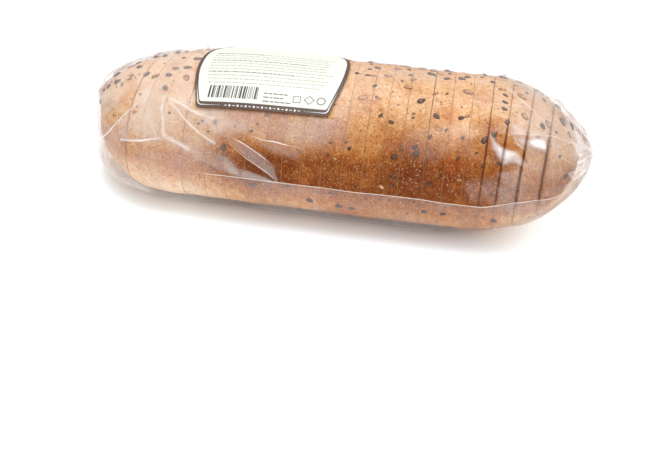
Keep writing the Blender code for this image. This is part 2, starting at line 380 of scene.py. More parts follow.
class Graph:
    """Adds nodes to a node tree and links them in one call each."""

    def add(self, kind, settings=None, **inputs):
        """A node with its settings. An input is given by its name or, after _, by its number."""
        node = self.tree.nodes.new(kind)
        for key, value in (settings or {}).items():
            setattr(node, key, value)
        for key, value in inputs.items():
            self.set(node, key, value)
        return node

    def set(self, node, key, value):
        """Links a socket to another, or sets its constant value."""
        socket = node.inputs[int(key[1:]) if key[0] == "_" else key.replace("_", " ")]
        if isinstance(value, bpy.types.NodeSocket):
            self.tree.links.new(value, socket)
        else:
            socket.default_value = value


class Nodes(Graph):
    """The nodes of a material."""

    def __init__(self, name):
        self.material = bpy.data.materials.new(name)
        self.material.use_nodes = True
        self.tree = self.material.node_tree
        self.shader = self.tree.nodes["Principled BSDF"]

    def noise(self, place, scale, detail=3.0, roughness=0.55, distortion=0.0):
        node = self.add("ShaderNodeTexNoise", Vector=place, Scale=scale, Detail=detail,
                        Roughness=roughness, Distortion=distortion)
        return node.outputs["Fac"]

    def math(self, operation, *values, clamp=False):
        settings = {"operation": operation, "use_clamp": clamp}
        return self.add("ShaderNodeMath", settings, **{f"_{i}": v for i, v in enumerate(values)}).outputs[0]

    def span(self, value, low, high, to_low=0.0, to_high=1.0):
        return self.add("ShaderNodeMapRange", _0=value, _1=low, _2=high, _3=to_low, _4=to_high).outputs[0]

    def blend(self, share, first, second, kind="MIX"):
        settings = {"data_type": "RGBA", "blend_type": kind}
        return self.add("ShaderNodeMix", settings, _0=share, _6=first, _7=second).outputs[2]

    def ramp(self, value, stops):
        node = self.add("ShaderNodeValToRGB", Fac=value)
        band = node.color_ramp
        while len(band.elements) < len(stops):
            band.elements.new(0.5)
        for element, (place, colour) in zip(band.elements, stops):
            element.position, element.color = place, colour
        return node.outputs[0]

    def value_of(self, name):
        return self.add("ShaderNodeAttribute", {"attribute_name": name}).outputs["Fac"]

    def place(self):
        return self.add("ShaderNodeTexCoord").outputs["Object"]

    def bump(self, height, strength, distance):
        node = self.add("ShaderNodeBump", Strength=strength, Distance=distance, Height=height)
        self.finish(Normal=node.outputs[0])

    def finish(self, **inputs):
        for key, value in inputs.items():
            self.set(self.shader, key, value)


print("node tools for materials are ready")

# %% Crust and crumb


def dots(n, place, scale, radius, share):
    """1 inside small round dots, which stand in a share of the cells of a pattern."""
    cells = n.add("ShaderNodeTexVoronoi", Vector=place, Scale=scale)
    inside = n.span(cells.outputs["Distance"], radius * 1.4, radius * 0.7)
    draw = n.add("ShaderNodeSeparateColor", Color=cells.outputs["Color"]).outputs[0]
    chosen = n.math("LESS_THAN", draw, share)
    return n.math("MULTIPLY", inside, chosen, clamp=True)


def crust_material():
    n = Nodes("crust")
    place = n.place()
    clouds = n.noise(place, 38.0, 3.0)
    mottle = n.noise(place, 260.0, 5.0, 0.7)
    grain = n.noise(place, 800.0, 4.0, 0.75)
    fine = n.noise(place, 1400.0, 2.0, 0.7)
    # how dark the crust is painted: partly how brown it baked, partly painted shade low on the sides
    brown = n.value_of("browning")
    for pattern, reach in ((clouds, 0.13), (mottle, 0.15), (grain, 0.16), (fine, 0.20)):
        brown = n.math("ADD", brown, n.span(pattern, 0.3, 0.7, -reach, reach), clamp=pattern is fine)
    colour = n.ramp(brown, [
        (0.00, paint("f0d0ae")), (0.30, paint("dba468")), (0.62, paint("b96f2c")), (1.00, paint("7a3605")),
    ])
    warm = n.span(n.noise(place, 55.0, 3.0, 0.6), 0.5, 0.72, 0.0, 0.55)
    colour = n.blend(warm, colour, paint("e09a4c"), "MULTIPLY")
    for where, strength, code in (
            (n.span(grain, 0.60, 0.74), 0.4, "5f3013"),              # dark pores
            (dots(n, place, 420.0, 0.16, 0.50), 0.70, "5d2f16"),     # dots of bran
            (dots(n, place, 640.0, 0.17, 0.45), 0.65, "eccb98"),     # dots of flour
            # the knife's edge bares a narrow line of tan crumb
            (n.value_of("cut"), n.span(grain, 0.3, 0.6, 0.4, 0.9), "c08c54"),
            # dark brown in the cuts that stand open: painted shade deep in the cut
            (n.value_of("groove"), 1.0, "6b2d12")):                  # cuts that stand open
        colour = n.blend(n.math("MULTIPLY", where, strength), colour, paint(code))
    tone = n.value_of("tone")
    grey = n.add("ShaderNodeCombineColor", _0=tone, _1=tone, _2=tone).outputs[0]
    n.finish(Base_Color=n.blend(1.0, colour, grey, "MULTIPLY"),
             Roughness=n.span(mottle, 0.3, 0.7, 0.5, 0.75), Specular_IOR_Level=0.09)
    n.bump(n.math("ADD", n.math("MULTIPLY", mottle, 0.7), n.math("MULTIPLY", grain, 0.3)), 0.8, 0.0008)
    return n.material


def crumb_material():
    """The cut face. Close to the crust, where the attribute rim is 1, it is brown as the crust is."""
    n = Nodes("crumb")
    place = n.place()
    holes = n.add("ShaderNodeTexVoronoi", {"feature": "SMOOTH_F1"}, Vector=place, Scale=420.0).outputs[0]
    fine = n.noise(place, 1100.0, 3.0, 0.6)
    colour = n.blend(n.span(holes, 0.1, 0.5), paint("cdb594"), paint("ece0cb"))
    colour = n.blend(n.span(fine, 0.5, 0.8, 0.0, 0.4), colour, paint("b99a73"))
    n.finish(Base_Color=n.blend(n.value_of("rim"), colour, paint("7d4517")), Roughness=0.85)
    n.bump(n.math("ADD", holes, n.math("MULTIPLY", fine, 0.5)), 0.7, 0.0008)
    return n.material


crust = crust_material()
crumb = crumb_material()
print("materials so far:", crust.name, crumb.name)

# %% [markdown]
# ## The slices
#
# A slicing machine cuts the whole loaf at once, so the slices keep the loaf's form, and each is a slab of
# that one skin between two cuts. After that the loaf is pushed into its bag. The slices settle by a few
# tenths of a millimetre, and those at the ends turn a little and open up. So each slice here is built from
# the same rule for the skin, with its own small sink, and with cuts that turn and gape near the ends.

# %% Where the cuts are
SLICE = 10.7
FIRST_CUT = -109.2
CUT_SHIFTS = (-0.8, -2.6, -2.0, 0.1, 0.4, 0.7, 0.9, 1.2, -0.4, -1.0, -0.8,
              -0.5, -0.2, -1.7, -2.3, -0.3, -0.5, -0.7, -0.7, -1.0, -0.1, 1.0)
CUT_GAPS = (0.16, 0.10, 0.14, 0.06, 0.10, 0.06, 0.16, 0.22, 0.06, 0.10, 0.06,
            0.10, 0.14, 0.06, 0.10, 0.24, 0.10, 0.06, 0.12, 0.14, 0.12, 0.12)
# number of a cut whose edges are worn away, and how deep in mm
OPEN_CUTS = {18: 0.15, 19: 0.35, 20: 0.7, 21: 1.0}
RIGHT_TURN = 0.09             # how far a cut leans along x for each millimetre of y
LEFT_TURN = 0.06

cuts = [FIRST_CUT + i * SLICE + shift for i, shift in enumerate(CUT_SHIFTS)]


def cut_turn(x):
    """How the cuts near the ends are turned, as millimetres along x for each millimetre of y."""
    right = ease((x - 68.0) / 40.0) * ease((LOAF["right"] - x) / 16.0)
    left = ease((-62.0 - x) / 25.0) * ease((x - LOAF["left"]) / 26.0)
    return RIGHT_TURN * right + LEFT_TURN * left


def beside_cut(cut, x, points):
    """Distance along x from a cut, which may be turned."""
    return np.abs(x - cut - cut_turn(cut) * points[..., 1])


def low_front(angle):
    """1 on the lower front, where the open cuts gape, and 0 away from it."""
    return ease((angle - 112.0) / 16.0) * ease((182.0 - angle) / 14.0)


print(len(cuts), "cuts,", len(cuts) + 1, "pieces, from", round(cuts[0], 1), "to", round(cuts[-1], 1))

# %% The skin of one slice
COLUMNS = 240
RINGS = 9
HEEL_RINGS = (30, 26)         # of the left and of the right heel
EDGE_RINGS = np.array([0.0, 0.14, 0.32, 0.8])   # places of the rings next to a cut
EDGE_LINE = 0.32              # how far the bared line reaches from the cut
SETTLE = random.Random(23)
SINKS = [SETTLE.uniform(0.0, 0.4) for _ in range(len(cuts) + 1)]
TONES = [SETTLE.uniform(0.93, 1.05) for _ in range(len(cuts) + 1)]
angles = np.arange(COLUMNS) * 360.0 / COLUMNS
FACE_ROWS = (0.30, 0.62, 0.84, 0.95)
RIM = (0.0, 0.0, 0.15, 0.9)   # how brown each row of a cut face is
WORN_EDGE, WORN_REACH = 0.17, 0.9
UNEVEN = ((0.28, 19.0, 3), (0.16, 6.0, 4), (0.10, 2.4, 5))   # height and size of hills, and seed number


def loaf_points(x, angle, sink):
    """Crust points with the bread's own unevenness. The cuts' turn moves x with y."""
    half_width = sections(LOAF, x)[0]
    x = x + cut_turn(x) * half_width * np.cos(np.radians(angle))
    x = np.clip(x, LOAF["left"], LOAF["right"])
    points = skin(LOAF, x, angle)
    relief = sum(height * hills(points, size, seed) for height, size, seed in UNEVEN)
    lifted = ease((points[..., 2] - 2.0) / 6.0)
    return points + outward(LOAF, x, angle) * ((relief - sink) * lifted)[..., None]


def heel_stations(end, cut, count):
    """Places of a heel's rings along x, close together at its tip."""
    return end + (cut - end) * (1.0 - np.cos(np.linspace(0.0, math.pi / 2, count)))


def slice_stations(number):
    """Places of a slice's rings along x."""
    if number == 0:
        return heel_stations(LOAF["left"], cuts[0] - CUT_GAPS[0] / 2, HEEL_RINGS[0])
    if number == len(cuts):
        return heel_stations(LOAF["right"], cuts[-1] + CUT_GAPS[-1] / 2, HEEL_RINGS[1])[::-1]
    low, high = cuts[number - 1] + CUT_GAPS[number - 1] / 2, cuts[number] - CUT_GAPS[number] / 2
    inner = np.linspace(low + EDGE_RINGS[-1], high - EDGE_RINGS[-1], RINGS)[1:-1]
    return np.concatenate([low + EDGE_RINGS, inner, high - EDGE_RINGS[::-1]])


PALE_PATCHES = [
    # x, angle, half width in mm, half height in degrees, how much paler
    (-32.0, 148.0, 24.0, 11.0, 0.34), (-100.0, 148.0, 34.0, 14.0, 0.18), (100.0, 125.0, 16.0, 14.0, -0.10),
    (83.0, 172.0, 16.0, 8.0, 0.12), (83.0, 124.0, 9.0, 8.0, -0.16), (69.0, 130.0, 8.0, 8.0, 0.18),
    (18.0, 135.0, 9.0, 7.0, 0.12), (-2.0, 168.0, 14.0, 7.0, 0.10), (9.0, 152.0, 10.0, 8.0, 0.20),
    (12.0, 168.0, 9.0, 6.0, 0.14),
]


# how dark the crust is painted by its angle from the crest: partly how brown it baked, partly painted shade
# low on the sides
BROWNING_AND_SHADE_AT = (0, 25, 45, 60, 72, 85, 94, 104, 125, 180)   # degrees from the crest
BROWNING_AND_SHADE = (0.12, 0.26, 0.50, 0.72, 0.92, 0.95, 0.67, 0.55, 0.49, 0.45)
PALER_LEFT, PALER_RIGHT = 0.42, 0.28


def browning(points, angle):
    """How dark the crust is painted: pale on the crest, darkest low on the sides, paler towards the ends.
    The dark sides are partly how brown the crust baked and partly painted shade.
    """
    from_crest = np.abs((angle - 90.0 + 180.0) % 360.0 - 180.0)
    value = np.interp(from_crest, BROWNING_AND_SHADE_AT, BROWNING_AND_SHADE)
    x = points[..., 0]
    value = value - PALER_LEFT * ease((-28.0 - x) / 60.0) - PALER_RIGHT * ease((x - 80.0) / 32.0)
    # an oven never browns evenly, so some patches are paler and some are darker
    for middle, level, reach, rise, paler in PALE_PATCHES:
        value = value - paler * np.exp(-((x - middle) / reach) ** 2 - ((angle - level) / rise) ** 2)
    return value


# %% Slices
FAR = 9.0                     # a distance at which a cut has no effect


def cut_face(ring, shares):
    """Smaller and smaller copies of a ring, with the crumb's own hills, and the middle they close to."""
    middle = ring.mean(axis=0)
    rows = np.stack([middle + (ring - middle) * share for share in shares])
    rows[..., 0] += 0.22 * hills(rows, 3.5, 9)
    return rows, middle


def make_slice(number):
    x = slice_stations(number)
    xs, turned = np.meshgrid(x, angles, indexing="ij")
    has_left, has_right = number > 0, number < len(cuts)
    rings = loaf_points(xs, turned, SINKS[number])
    # the knife leaves a worn edge, so the outer rings are a little smaller
    from_cut = np.minimum(xs - x[0] if has_left else FAR, x[-1] - xs if has_right else FAR)
    worn = WORN_EDGE * (1.0 - ease(from_cut / WORN_REACH)) * (1.0 + 0.7 * hills(rings, 4.0, 8))
    # where the crust is painted dark as shade deep in a cut that stands open
    groove = np.zeros_like(worn)
    for cut_number, from_it in ((number - 1, xs - x[0]), (number, x[-1] - xs)):
        depth = OPEN_CUTS.get(cut_number, 0.0)
        near = 1.0 - np.clip(from_it / (0.5 + 0.6 * depth), 0.0, 1.0)
        share = (0.25 + 0.75 * low_front(turned)) * near
        worn = worn + depth * share
        groove = groove + (depth > 0.0) * share
    rings = rings - outward(LOAF, xs, turned) * worn[..., None]
    brown = browning(rings, turned)

    rows, slots, rim = [rings], [0] * (len(x) - 1), [np.ones(rings.shape[0])]
    left_middle, right_middle = rings[0].mean(axis=0), rings[-1].mean(axis=0)
    face_slots = [1] * len(FACE_ROWS)
    if has_left:
        face, left_middle = cut_face(rings[0], FACE_ROWS)
        rows, slots, rim = [face] + rows, face_slots + slots, [RIM] + rim
    if has_right:
        face, right_middle = cut_face(rings[-1], FACE_ROWS[::-1])
        rows, slots, rim = rows + [face], slots + face_slots, rim + [RIM[::-1]]
    points, faces = closed_skin(np.concatenate(rows), [left_middle, right_middle])
    slots = np.repeat(slots + [int(has_left), int(has_right)], COLUMNS)
    piece = make_object(f"slice_{number + 1:02d}", points, faces, [crust, crumb], slots)
    start = len(FACE_ROWS) * COLUMNS * has_left
    for name, values in (("browning", brown), ("cut", 1.0 - np.clip(from_cut / EDGE_LINE, 0.0, 1.0)),
                         ("groove", np.clip(groove * 1.3, 0.0, 1.0))):
        full = np.zeros(len(points))
        full[start:start + values.size] = values.ravel()
        add_values(piece.data, name, full)
    add_values(piece.data, "rim", np.append(np.repeat(np.concatenate(rim), COLUMNS), [0.0, 0.0]))
    add_values(piece.data, "tone", np.full(len(points), TONES[number]))
    return finish_piece(piece)


slices = [make_slice(number) for number in range(len(cuts) + 1)]
print(len(slices), "slices,", sum(len(s.data.polygons) for s in slices), "faces")

# %% [markdown]
# ## Seeds and flakes
#
# The dough is rolled in seeds before it is baked, so they sit on the crust, most of them near the crest.
# There are dark ones, golden ones, thin pale flakes and fine specks. Each kind is one shape that is set on
# many points, which is the work that Geometry Nodes do best. The points carry three attributes: which way
# is out of the crust, how far the seed is spun, and its size. One node tree reads them and serves all kinds.
# The class Tree holds what every such tree needs, and the bright edges of the film use it again.

# %% Tools for node trees
# what a point can carry into a tree, and of which kind it is
POINT_DATA = {"facing": "FLOAT_VECTOR", "size": "FLOAT_VECTOR", "spin": "FLOAT", "width": "FLOAT"}


class Tree(Graph):
    """A Geometry Nodes tree with named inputs, which ends in Realize Instances and Set Material."""

    def __init__(self, name, **inputs):
        self.tree = bpy.data.node_groups.new(name, "GeometryNodeTree")
        self.tree.is_modifier = True
        face = self.tree.interface
        for key, kind in {"Geometry": "Geometry", **inputs, "Finish": "Material"}.items():
            face.new_socket(key, in_out="INPUT", socket_type="NodeSocket" + kind)
        face.new_socket("Geometry", in_out="OUTPUT", socket_type="NodeSocketGeometry")
        self.inputs = self.add("NodeGroupInput").outputs

    def value_of(self, name):
        node = self.add("GeometryNodeInputNamedAttribute", {"data_type": POINT_DATA[name]}, Name=name)
        return node.outputs[0]

    def end(self, geometry):
        real = self.add("GeometryNodeRealizeInstances", _0=geometry).outputs[0]
        painted = self.add("GeometryNodeSetMaterial", Geometry=real, Material=self.inputs["Finish"])
        self.add("NodeGroupOutput", _0=painted.outputs[0])

    def run(self, name, mesh, data, **inputs):
        """Runs the tree on a mesh with point data, and returns an object that is a plain mesh."""
        for key, values in data.items():
            add_values(mesh, key, values, POINT_DATA[key])
        carrier = link_object(name, mesh)
        modifier = carrier.modifiers.new("nodes", "NODES")
        modifier.node_group = self.tree
        for item in self.tree.interface.items_tree:
            if item.in_out == "INPUT" and item.name in inputs:
                modifier[item.identifier] = inputs[item.name]
        evaluated = carrier.evaluated_get(bpy.context.evaluated_depsgraph_get())
        result = bpy.data.meshes.new_from_object(evaluated)
        carrier.modifiers.clear()
        carrier.data = result
        bpy.data.meshes.remove(mesh)
        result.name = name
        for key in data:
            if key in result.attributes:
                result.attributes.remove(result.attributes[key])
        result.shade_smooth()
        return carrier


print("point data:", ", ".join(POINT_DATA))

# %% A node tree that sets a shape on points


def seed_tree():
    """Geometry Nodes: one shape on each point, turned to face out of the surface, joined to one mesh."""
    t = Tree("shape_on_points", Shape="Object", Lift="Float")
    facing = t.value_of("facing")
    move = t.add("ShaderNodeVectorMath", {"operation": "SCALE"}, _0=facing, Scale=t.inputs["Lift"])
    lifted = t.add("GeometryNodeSetPosition", Geometry=t.inputs["Geometry"], Offset=move.outputs[0])
    align = t.add("FunctionNodeAlignRotationToVector", {"axis": "Z"}, Vector=facing)
    about = t.add("FunctionNodeAxisAngleToRotation", Angle=t.value_of("spin"))
    turn = t.add("FunctionNodeRotateRotation", {"rotation_space": "LOCAL"}, Rotation=align.outputs[0],
                 Rotate_By=about.outputs[0])
    shape = t.add("GeometryNodeObjectInfo", Object=t.inputs["Shape"])
    place = t.add("GeometryNodeInstanceOnPoints", Points=lifted.outputs[0], Scale=t.value_of("size"),
                  Instance=shape.outputs["Geometry"], Rotation=turn.outputs[0])
    t.end(place.outputs[0])
    return t


SHAPE_ON_POINTS = seed_tree()


def set_on_points(name, shape, finish, points, facing, spin, size, lift=0.0):
    """Sets a shape on points given in millimetres and returns a plain mesh object."""
    data = {"facing": facing, "size": size, "spin": spin}
    return SHAPE_ON_POINTS.run(name, bare_mesh(name, points), data,
                               Shape=shape, Lift=lift * MM, Finish=finish)


print("tree inputs:", [socket.name for socket in SHAPE_ON_POINTS.inputs if socket.name])

# %% The shapes of a seed and of a flake


def shape_object(name, build):
    """A small shape of 1 mm half length, which the tree scales. It is removed when all seeds are made."""
    bm = bmesh.new()
    build(bm)
    bmesh.ops.recalc_face_normals(bm, faces=bm.faces)
    # rim, 0 in the middle and 1 at the outline, is where the seed materials paint shade
    rim = bm.verts.layers.float.new("rim")
    for v in bm.verts:
        v[rim] = (v.co.x ** 2 + (v.co.y / 0.9) ** 2) / MM ** 2
    mesh = bpy.data.meshes.new(name)
    bm.to_mesh(mesh)
    bm.free()
    mesh.shade_smooth()
    made = link_object(name, mesh)
    made.hide_render = True
    return made


def build_seed(bm):
    """A flat drop, blunt at one end, with a low ridge along its back."""
    bmesh.ops.create_uvsphere(bm, u_segments=14, v_segments=8, radius=1.0)
    for v in bm.verts:
        x, y, z = v.co
        taper = 1.0 - 0.32 * x - 0.18 * x * x
        ridge = 1.0 + 0.35 * math.exp(-(y / 0.25) ** 2)
        v.co = Vector((x, y * taper, z * taper * ridge)) * MM


def build_speck(bm):
    """A grain of few faces, because it is repeated hundreds of times."""
    bmesh.ops.create_uvsphere(bm, u_segments=8, v_segments=5, radius=MM)


def build_flake(bm):
    """A thin oval flake with a crease along it and a curled rim."""
    bmesh.ops.create_uvsphere(bm, u_segments=16, v_segments=6, radius=1.0)
    for v in bm.verts:
        x, y, z = v.co
        crease = -0.35 * math.exp(-(y / 0.16) ** 2)
        curl = 0.45 * (x * x + y * y) - 0.12 * math.sin(3.0 * x + 1.0)
        v.co = Vector((x, y * (1.0 - 0.2 * x), z * 0.55 + crease + curl)) * MM


seed_shape = shape_object("seed_shape", build_seed)
flake_shape = shape_object("flake_shape", build_flake)
speck_shape = shape_object("speck_shape", build_speck)

# %% Where the large seeds are
FRONT_SEEDS = [
    # x, angle, half length in mm, spin in degrees
    (-138, 137, 1.6, 60), (-136, 111, 1.2, 70), (-133, 107, 1.7, 55), (-131, 86, 2.3, 35),
    (-127, 104, 2.0, 20), (-117, 88, 1.8, 0), (-109, 101, 2.0, 50), (-108, 122, 0.8, 0),
    (-95, 104, 1.9, -20), (-94, 117, 2.0, -50), (-92, 84, 1.0, 0), (-88, 137, 0.9, -20),
    (-86, 97, 2.3, -5), (-83, 87, 2.4, 0), (-71, 144, 0.9, 10), (-69, 142, 0.9, 20),
    (-65, 149, 0.7, 0), (-62, 142, 1.4, 80), (-62, 157, 0.8, 0), (-56, 159, 1.9, 80),
    (-51, 144, 0.8, 60), (-42, 146, 1.1, 45), (-39, 141, 0.9, 0), (-39, 182, 2.0, 10),
    (-35, 134, 1.5, 0), (-21, 161, 0.8, 0), (-20, 180, 1.2, 0), (-8, 192, 2.0, -25),
    (0, 156, 1.1, 70), (1, 148, 0.8, 0), (3, 181, 1.1, 20), (8, 90, 1.4, -15), (8, 195, 2.0, -5),
    (11, 150, 1.2, 60), (9, 146, 0.8, 0), (14, 83, 1.2, 10), (14, 91, 1.5, 15), (15, 196, 2.0, 5),
    (16, 175, 1.0, 0), (18, 80, 1.9, -15), (19, 101, 1.6, 50), (21, 111, 0.8, 0), (25, 125, 1.4, 60),
    (31, 129, 1.5, -20), (33, 93, 0.8, 0), (35, 152, 1.9, 30), (35, 165, 1.4, 60), (35, 171, 1.1, -30),
    (35, 181, 0.9, 20), (37, 85, 1.3, 0), (38, 147, 1.0, 30), (39, 166, 1.1, 60), (42, 121, 0.8, 0),
    (42, 124, 0.8, 30), (45, 110, 2.3, 35), (45, 144, 1.6, 50), (46, 148, 2.0, 60), (45, 193, 0.7, -20),
    (48, 80, 2.2, -10), (50, 82, 1.0, -20), (52, 136, 1.3, 60), (54, 121, 2.0, -45), (54, 188, 1.7, -5),
    (55, 167, 1.5, 0), (57, 85, 1.9, 25), (58, 101, 1.0, 60), (60, 130, 0.9, 60), (60, 161, 0.9, -60),
    (64, 188, 1.5, 10), (65, 82, 2.0, -5), (68, 78, 1.7, 10), (68, 148, 1.1, 80), (69, 134, 1.2, 50),
    (67, 120, 1.6, 20), (76, 76, 1.2, 10), (77, 143, 0.9, 40), (80, 134, 2.1, 70), (81, 151, 1.2, 60),
    (82, 82, 1.4, -15), (85, 129, 2.0, 60), (87, 169, 1.3, 60), (88, 65, 2.4, -5), (89, 148, 1.1, 20),
    (89, 95, 1.6, -40), (89, 102, 1.7, -25), (89, 108, 1.7, -15), (91, 118, 1.8, 75), (91, 193, 1.8, -10),
    (101, 84, 1.0, -30), (108, 123, 1.4, -15), (110, 112, 2.0, -50), (111, 81, 1.4, -35),
    (118, 112, 0.9, 0), (120, 68, 2.4, -40), (121, 136, 1.0, 30), (122, 93, 2.9, -60),
    (128, 80, 2.6, -70), (126, 162, 2.0, 60),
]
SCATTERED_SEEDS = 60
SEED_APART = 7.5
CUT_MARGIN = 2.4              # how far the scattered seeds stay from an even row of cuts
SEED_SHAPE = (1.14, 0.70, 0.36)   # half length, half width, half thickness, as shares of the half length
BULGING = 1.3                 # only seeds with this half length or more lift the film

print(len(FRONT_SEEDS), "seeds of the front")

# %% The label's place on the film, which seeds stay clear of
LABEL_FOOT_WIDTH = 70.0
LABEL_MIDDLE_WIDTH = 83.0
LABEL_MIDDLE = -38.0
LABEL_FOOT_ANGLE = 132.0
LABEL_TOP_ANGLE = 60.0
LABEL_TURN = -0.03            # degrees of angle for each mm along the loaf
LABEL_ARCH = 0.9
LABEL_ARCH_POWER = 3.2
LABEL_CORNER = 2.5


def label_half_width(share):
    """Half the label's width at a share of its height, 0 at its foot and 1 at its top."""
    share = np.asarray(share, float)
    spread = np.sin(math.pi / 2 * np.minimum(share / 0.5, 1.0))
    half = (LABEL_FOOT_WIDTH + (LABEL_MIDDLE_WIDTH - LABEL_FOOT_WIDTH) * spread) / 2
    over = np.maximum(0.0, (share - 0.5) / 0.5)
    half = half * np.sqrt(1.0 - LABEL_ARCH * over ** LABEL_ARCH_POWER)
    return half - LABEL_CORNER * (1.0 - fullness(share, 0.05))


def label_share(x, angle):
    """How high up the label an angle is at x."""
    foot = LABEL_FOOT_ANGLE + LABEL_TURN * (x - LABEL_MIDDLE)
    return (foot - angle) / (LABEL_FOOT_ANGLE - LABEL_TOP_ANGLE)


def under_label(x, angle, margin):
    """How surely points are under the label or within margin millimetres of it, 1 or 0 with a soft edge."""
    share = label_share(x, angle)
    inside = label_half_width(np.clip(share, 0.1, 1.0)) + margin - np.abs(x - LABEL_MIDDLE)
    edge = margin / 60.0
    up = np.minimum(share + edge, 1.0 + edge - share) * 60.0
    return ease(np.minimum(inside, up) / 2.0 + 0.5)


print("half the label's width at its middle:", label_half_width(0.5))

# %% All large seeds


def large_seed_places():
    """The seeds of the front, then others well apart behind, as (x, angle, spin, half length)."""
    draw = random.Random(7)
    kept = [(x, degrees, math.radians(spin), half_length) for x, degrees, half_length, spin in FRONT_SEEDS]
    spots = [skin(FILM, seed[0], seed[1]) for seed in kept]
    total = len(kept) + SCATTERED_SEEDS
    while len(kept) < total:
        seed = (draw.uniform(-124.0, 122.0), draw.uniform(8.0, 76.0), draw.uniform(0.0, math.pi),
                draw.uniform(0.9, 2.4))
        along = (seed[0] - FIRST_CUT) / SLICE
        if abs(along - round(along)) * SLICE < CUT_MARGIN or under_label(seed[0], seed[1], 6.0) > 0.5:
            continue
        spot = skin(FILM, seed[0], seed[1])
        if all(np.linalg.norm(spot - other) > SEED_APART for other in spots):
            kept.append(seed)
            spots.append(spot)
    return np.array(kept)


large_seeds = large_seed_places()
print(len(large_seeds), "large seeds")

# %% [markdown]
# ## Colours of the seeds
#
# Dark seeds are brown-black and a little shiny. Golden ones are the colour of honey, and flakes have the
# colour of the crust. Each shape carries a number called rim, which is 0 in its middle and 1 at its outline,
# and each material reads it: it paints the seed darker towards its outline, as painted shade, so that its
# middle looks paler, as a painted highlight. On the flakes the dark rim is partly a darker baked edge and
# partly the painted shadow of their raised edge.

# %% Seed materials


def seed_material(name, dark, light, roughness, rim_shade, streak=500.0):
    """Darker at its rim by the attribute rim that each shape carries: painted shade at its edge,
    which leaves the middle lighter as a painted highlight.
    """
    n = Nodes(name)
    place = n.place()
    broad = n.noise(place, streak, 2.0, 0.6)
    fine = n.noise(place, streak * 4.0, 2.0, 0.6)
    colour = n.blend(n.span(broad, 0.35, 0.65), paint(dark), paint(light))
    colour = n.blend(n.span(fine, 0.55, 0.8, 0.0, 0.35), colour, paint(light))
    rim = n.span(n.value_of("rim"), 0.35, 0.85, 0.0, rim_shade)
    colour = n.blend(rim, colour, paint(dark))
    shine = n.span(fine, 0.3, 0.7, roughness, roughness + 0.2)
    n.finish(Base_Color=colour, Roughness=shine, Specular_IOR_Level=0.3)
    n.bump(fine, 0.4, 0.0002)
    return n.material


# the last number is how dark the painted shade at the rim is
dark_seed = seed_material("dark_seed", "381c10", "7c583c", 0.35, 0.8)
brown_grain = seed_material("brown_grain", "5b3019", "8f5a38", 0.6, 0.5)
golden_seed = seed_material("golden_seed", "a8763a", "cf9f58", 0.45, 0.4)
pale_flake = seed_material("pale_flake", "8a4d20", "e0b077", 0.6, 0.85)
speck = seed_material("speck", "dcb886", "f2dcb8", 0.6, 0.2)

# %% Dark seeds


def seat(x, angle):
    """Points of the crust, and which way they face, for arrays of x and angle."""
    x = np.clip(x, LOAF["left"] + 0.5, LOAF["right"] - 0.5)
    facing = outward(LOAF, x, angle)
    return skin(LOAF, x, angle) - 0.2 * facing, facing


def sizes(scale, shape):
    return np.asarray(scale)[:, None] * np.asarray(shape)[None, :]


points, facing = seat(large_seeds[:, 0], large_seeds[:, 1])
dark_seeds = set_on_points("dark_seeds", seed_shape, dark_seed, points, facing, large_seeds[:, 2],
                           sizes(large_seeds[:, 3], SEED_SHAPE), lift=0.25)
finish_piece(dark_seeds)
print(len(large_seeds), "dark seeds,", len(dark_seeds.data.polygons), "faces")

# %% Small seeds, flakes and specks
FRONT_FLAKES = [
    # x, angle, half length in mm, spin in degrees
    (-119, 99, 1.8, -30), (-119, 104, 1.3, 20), (-123, 109, 1.1, -30), (-109, 138, 1.2, 0),
    (-103, 104, 2.2, 30), (-93, 97, 2.0, -15), (-84, 108, 2.6, -60), (4, 158, 1.3, -20),
    (14, 113, 2.6, 30), (17, 91, 1.5, 0), (22, 112, 1.6, -30), (25, 89, 2.2, 5), (25, 121, 1.4, 0),
    (29, 77, 2.0, 0), (30, 173, 1.8, -35), (37, 99, 2.3, -15), (39, 90, 1.6, 10), (48, 162, 1.2, 20),
    (52, 102, 1.6, 45), (54, 174, 1.1, 15), (55, 153, 1.2, -60), (56, 130, 1.8, -15),
    (69, 97, 2.7, -20), (70, 118, 1.4, 20), (70, 162, 1.5, 0), (87, 90, 2.0, 0), (98, 91, 2.8, -40),
    (100, 109, 2.4, -45), (113, 108, 2.4, -50), (126, 105, 2.0, -40),
]
# of each kind: how many, half length in mm, shape, range of angles, seed number
GOLDEN = {"count": 45, "half": 1.8, "shape": (1.0, 0.5, 0.3), "spread": (8.0, 80.0), "seed": 31}
SMALL_BROWN = {"count": 200, "half": 0.5, "shape": (1.0, 0.75, 0.5), "spread": (0.0, 200.0), "seed": 32}
FLAKES = {"count": 45, "half": 2.2, "shape": (1.1, 0.66, 0.30), "spread": (12.0, 78.0), "seed": 33}
SPECKS = {"count": 550, "half": 0.28, "shape": (1.0, 0.7, 0.5), "spread": (0.0, 205.0), "seed": 34}
SOWN = (-133.0, 129.0)        # the length of crust that carries them
# pale grains stick close together low on the front: middle and spread along x, and of the angle
DUSTED = {"count": 200, "middle": (52.0, 160.0), "spread": (24.0, 9.0)}


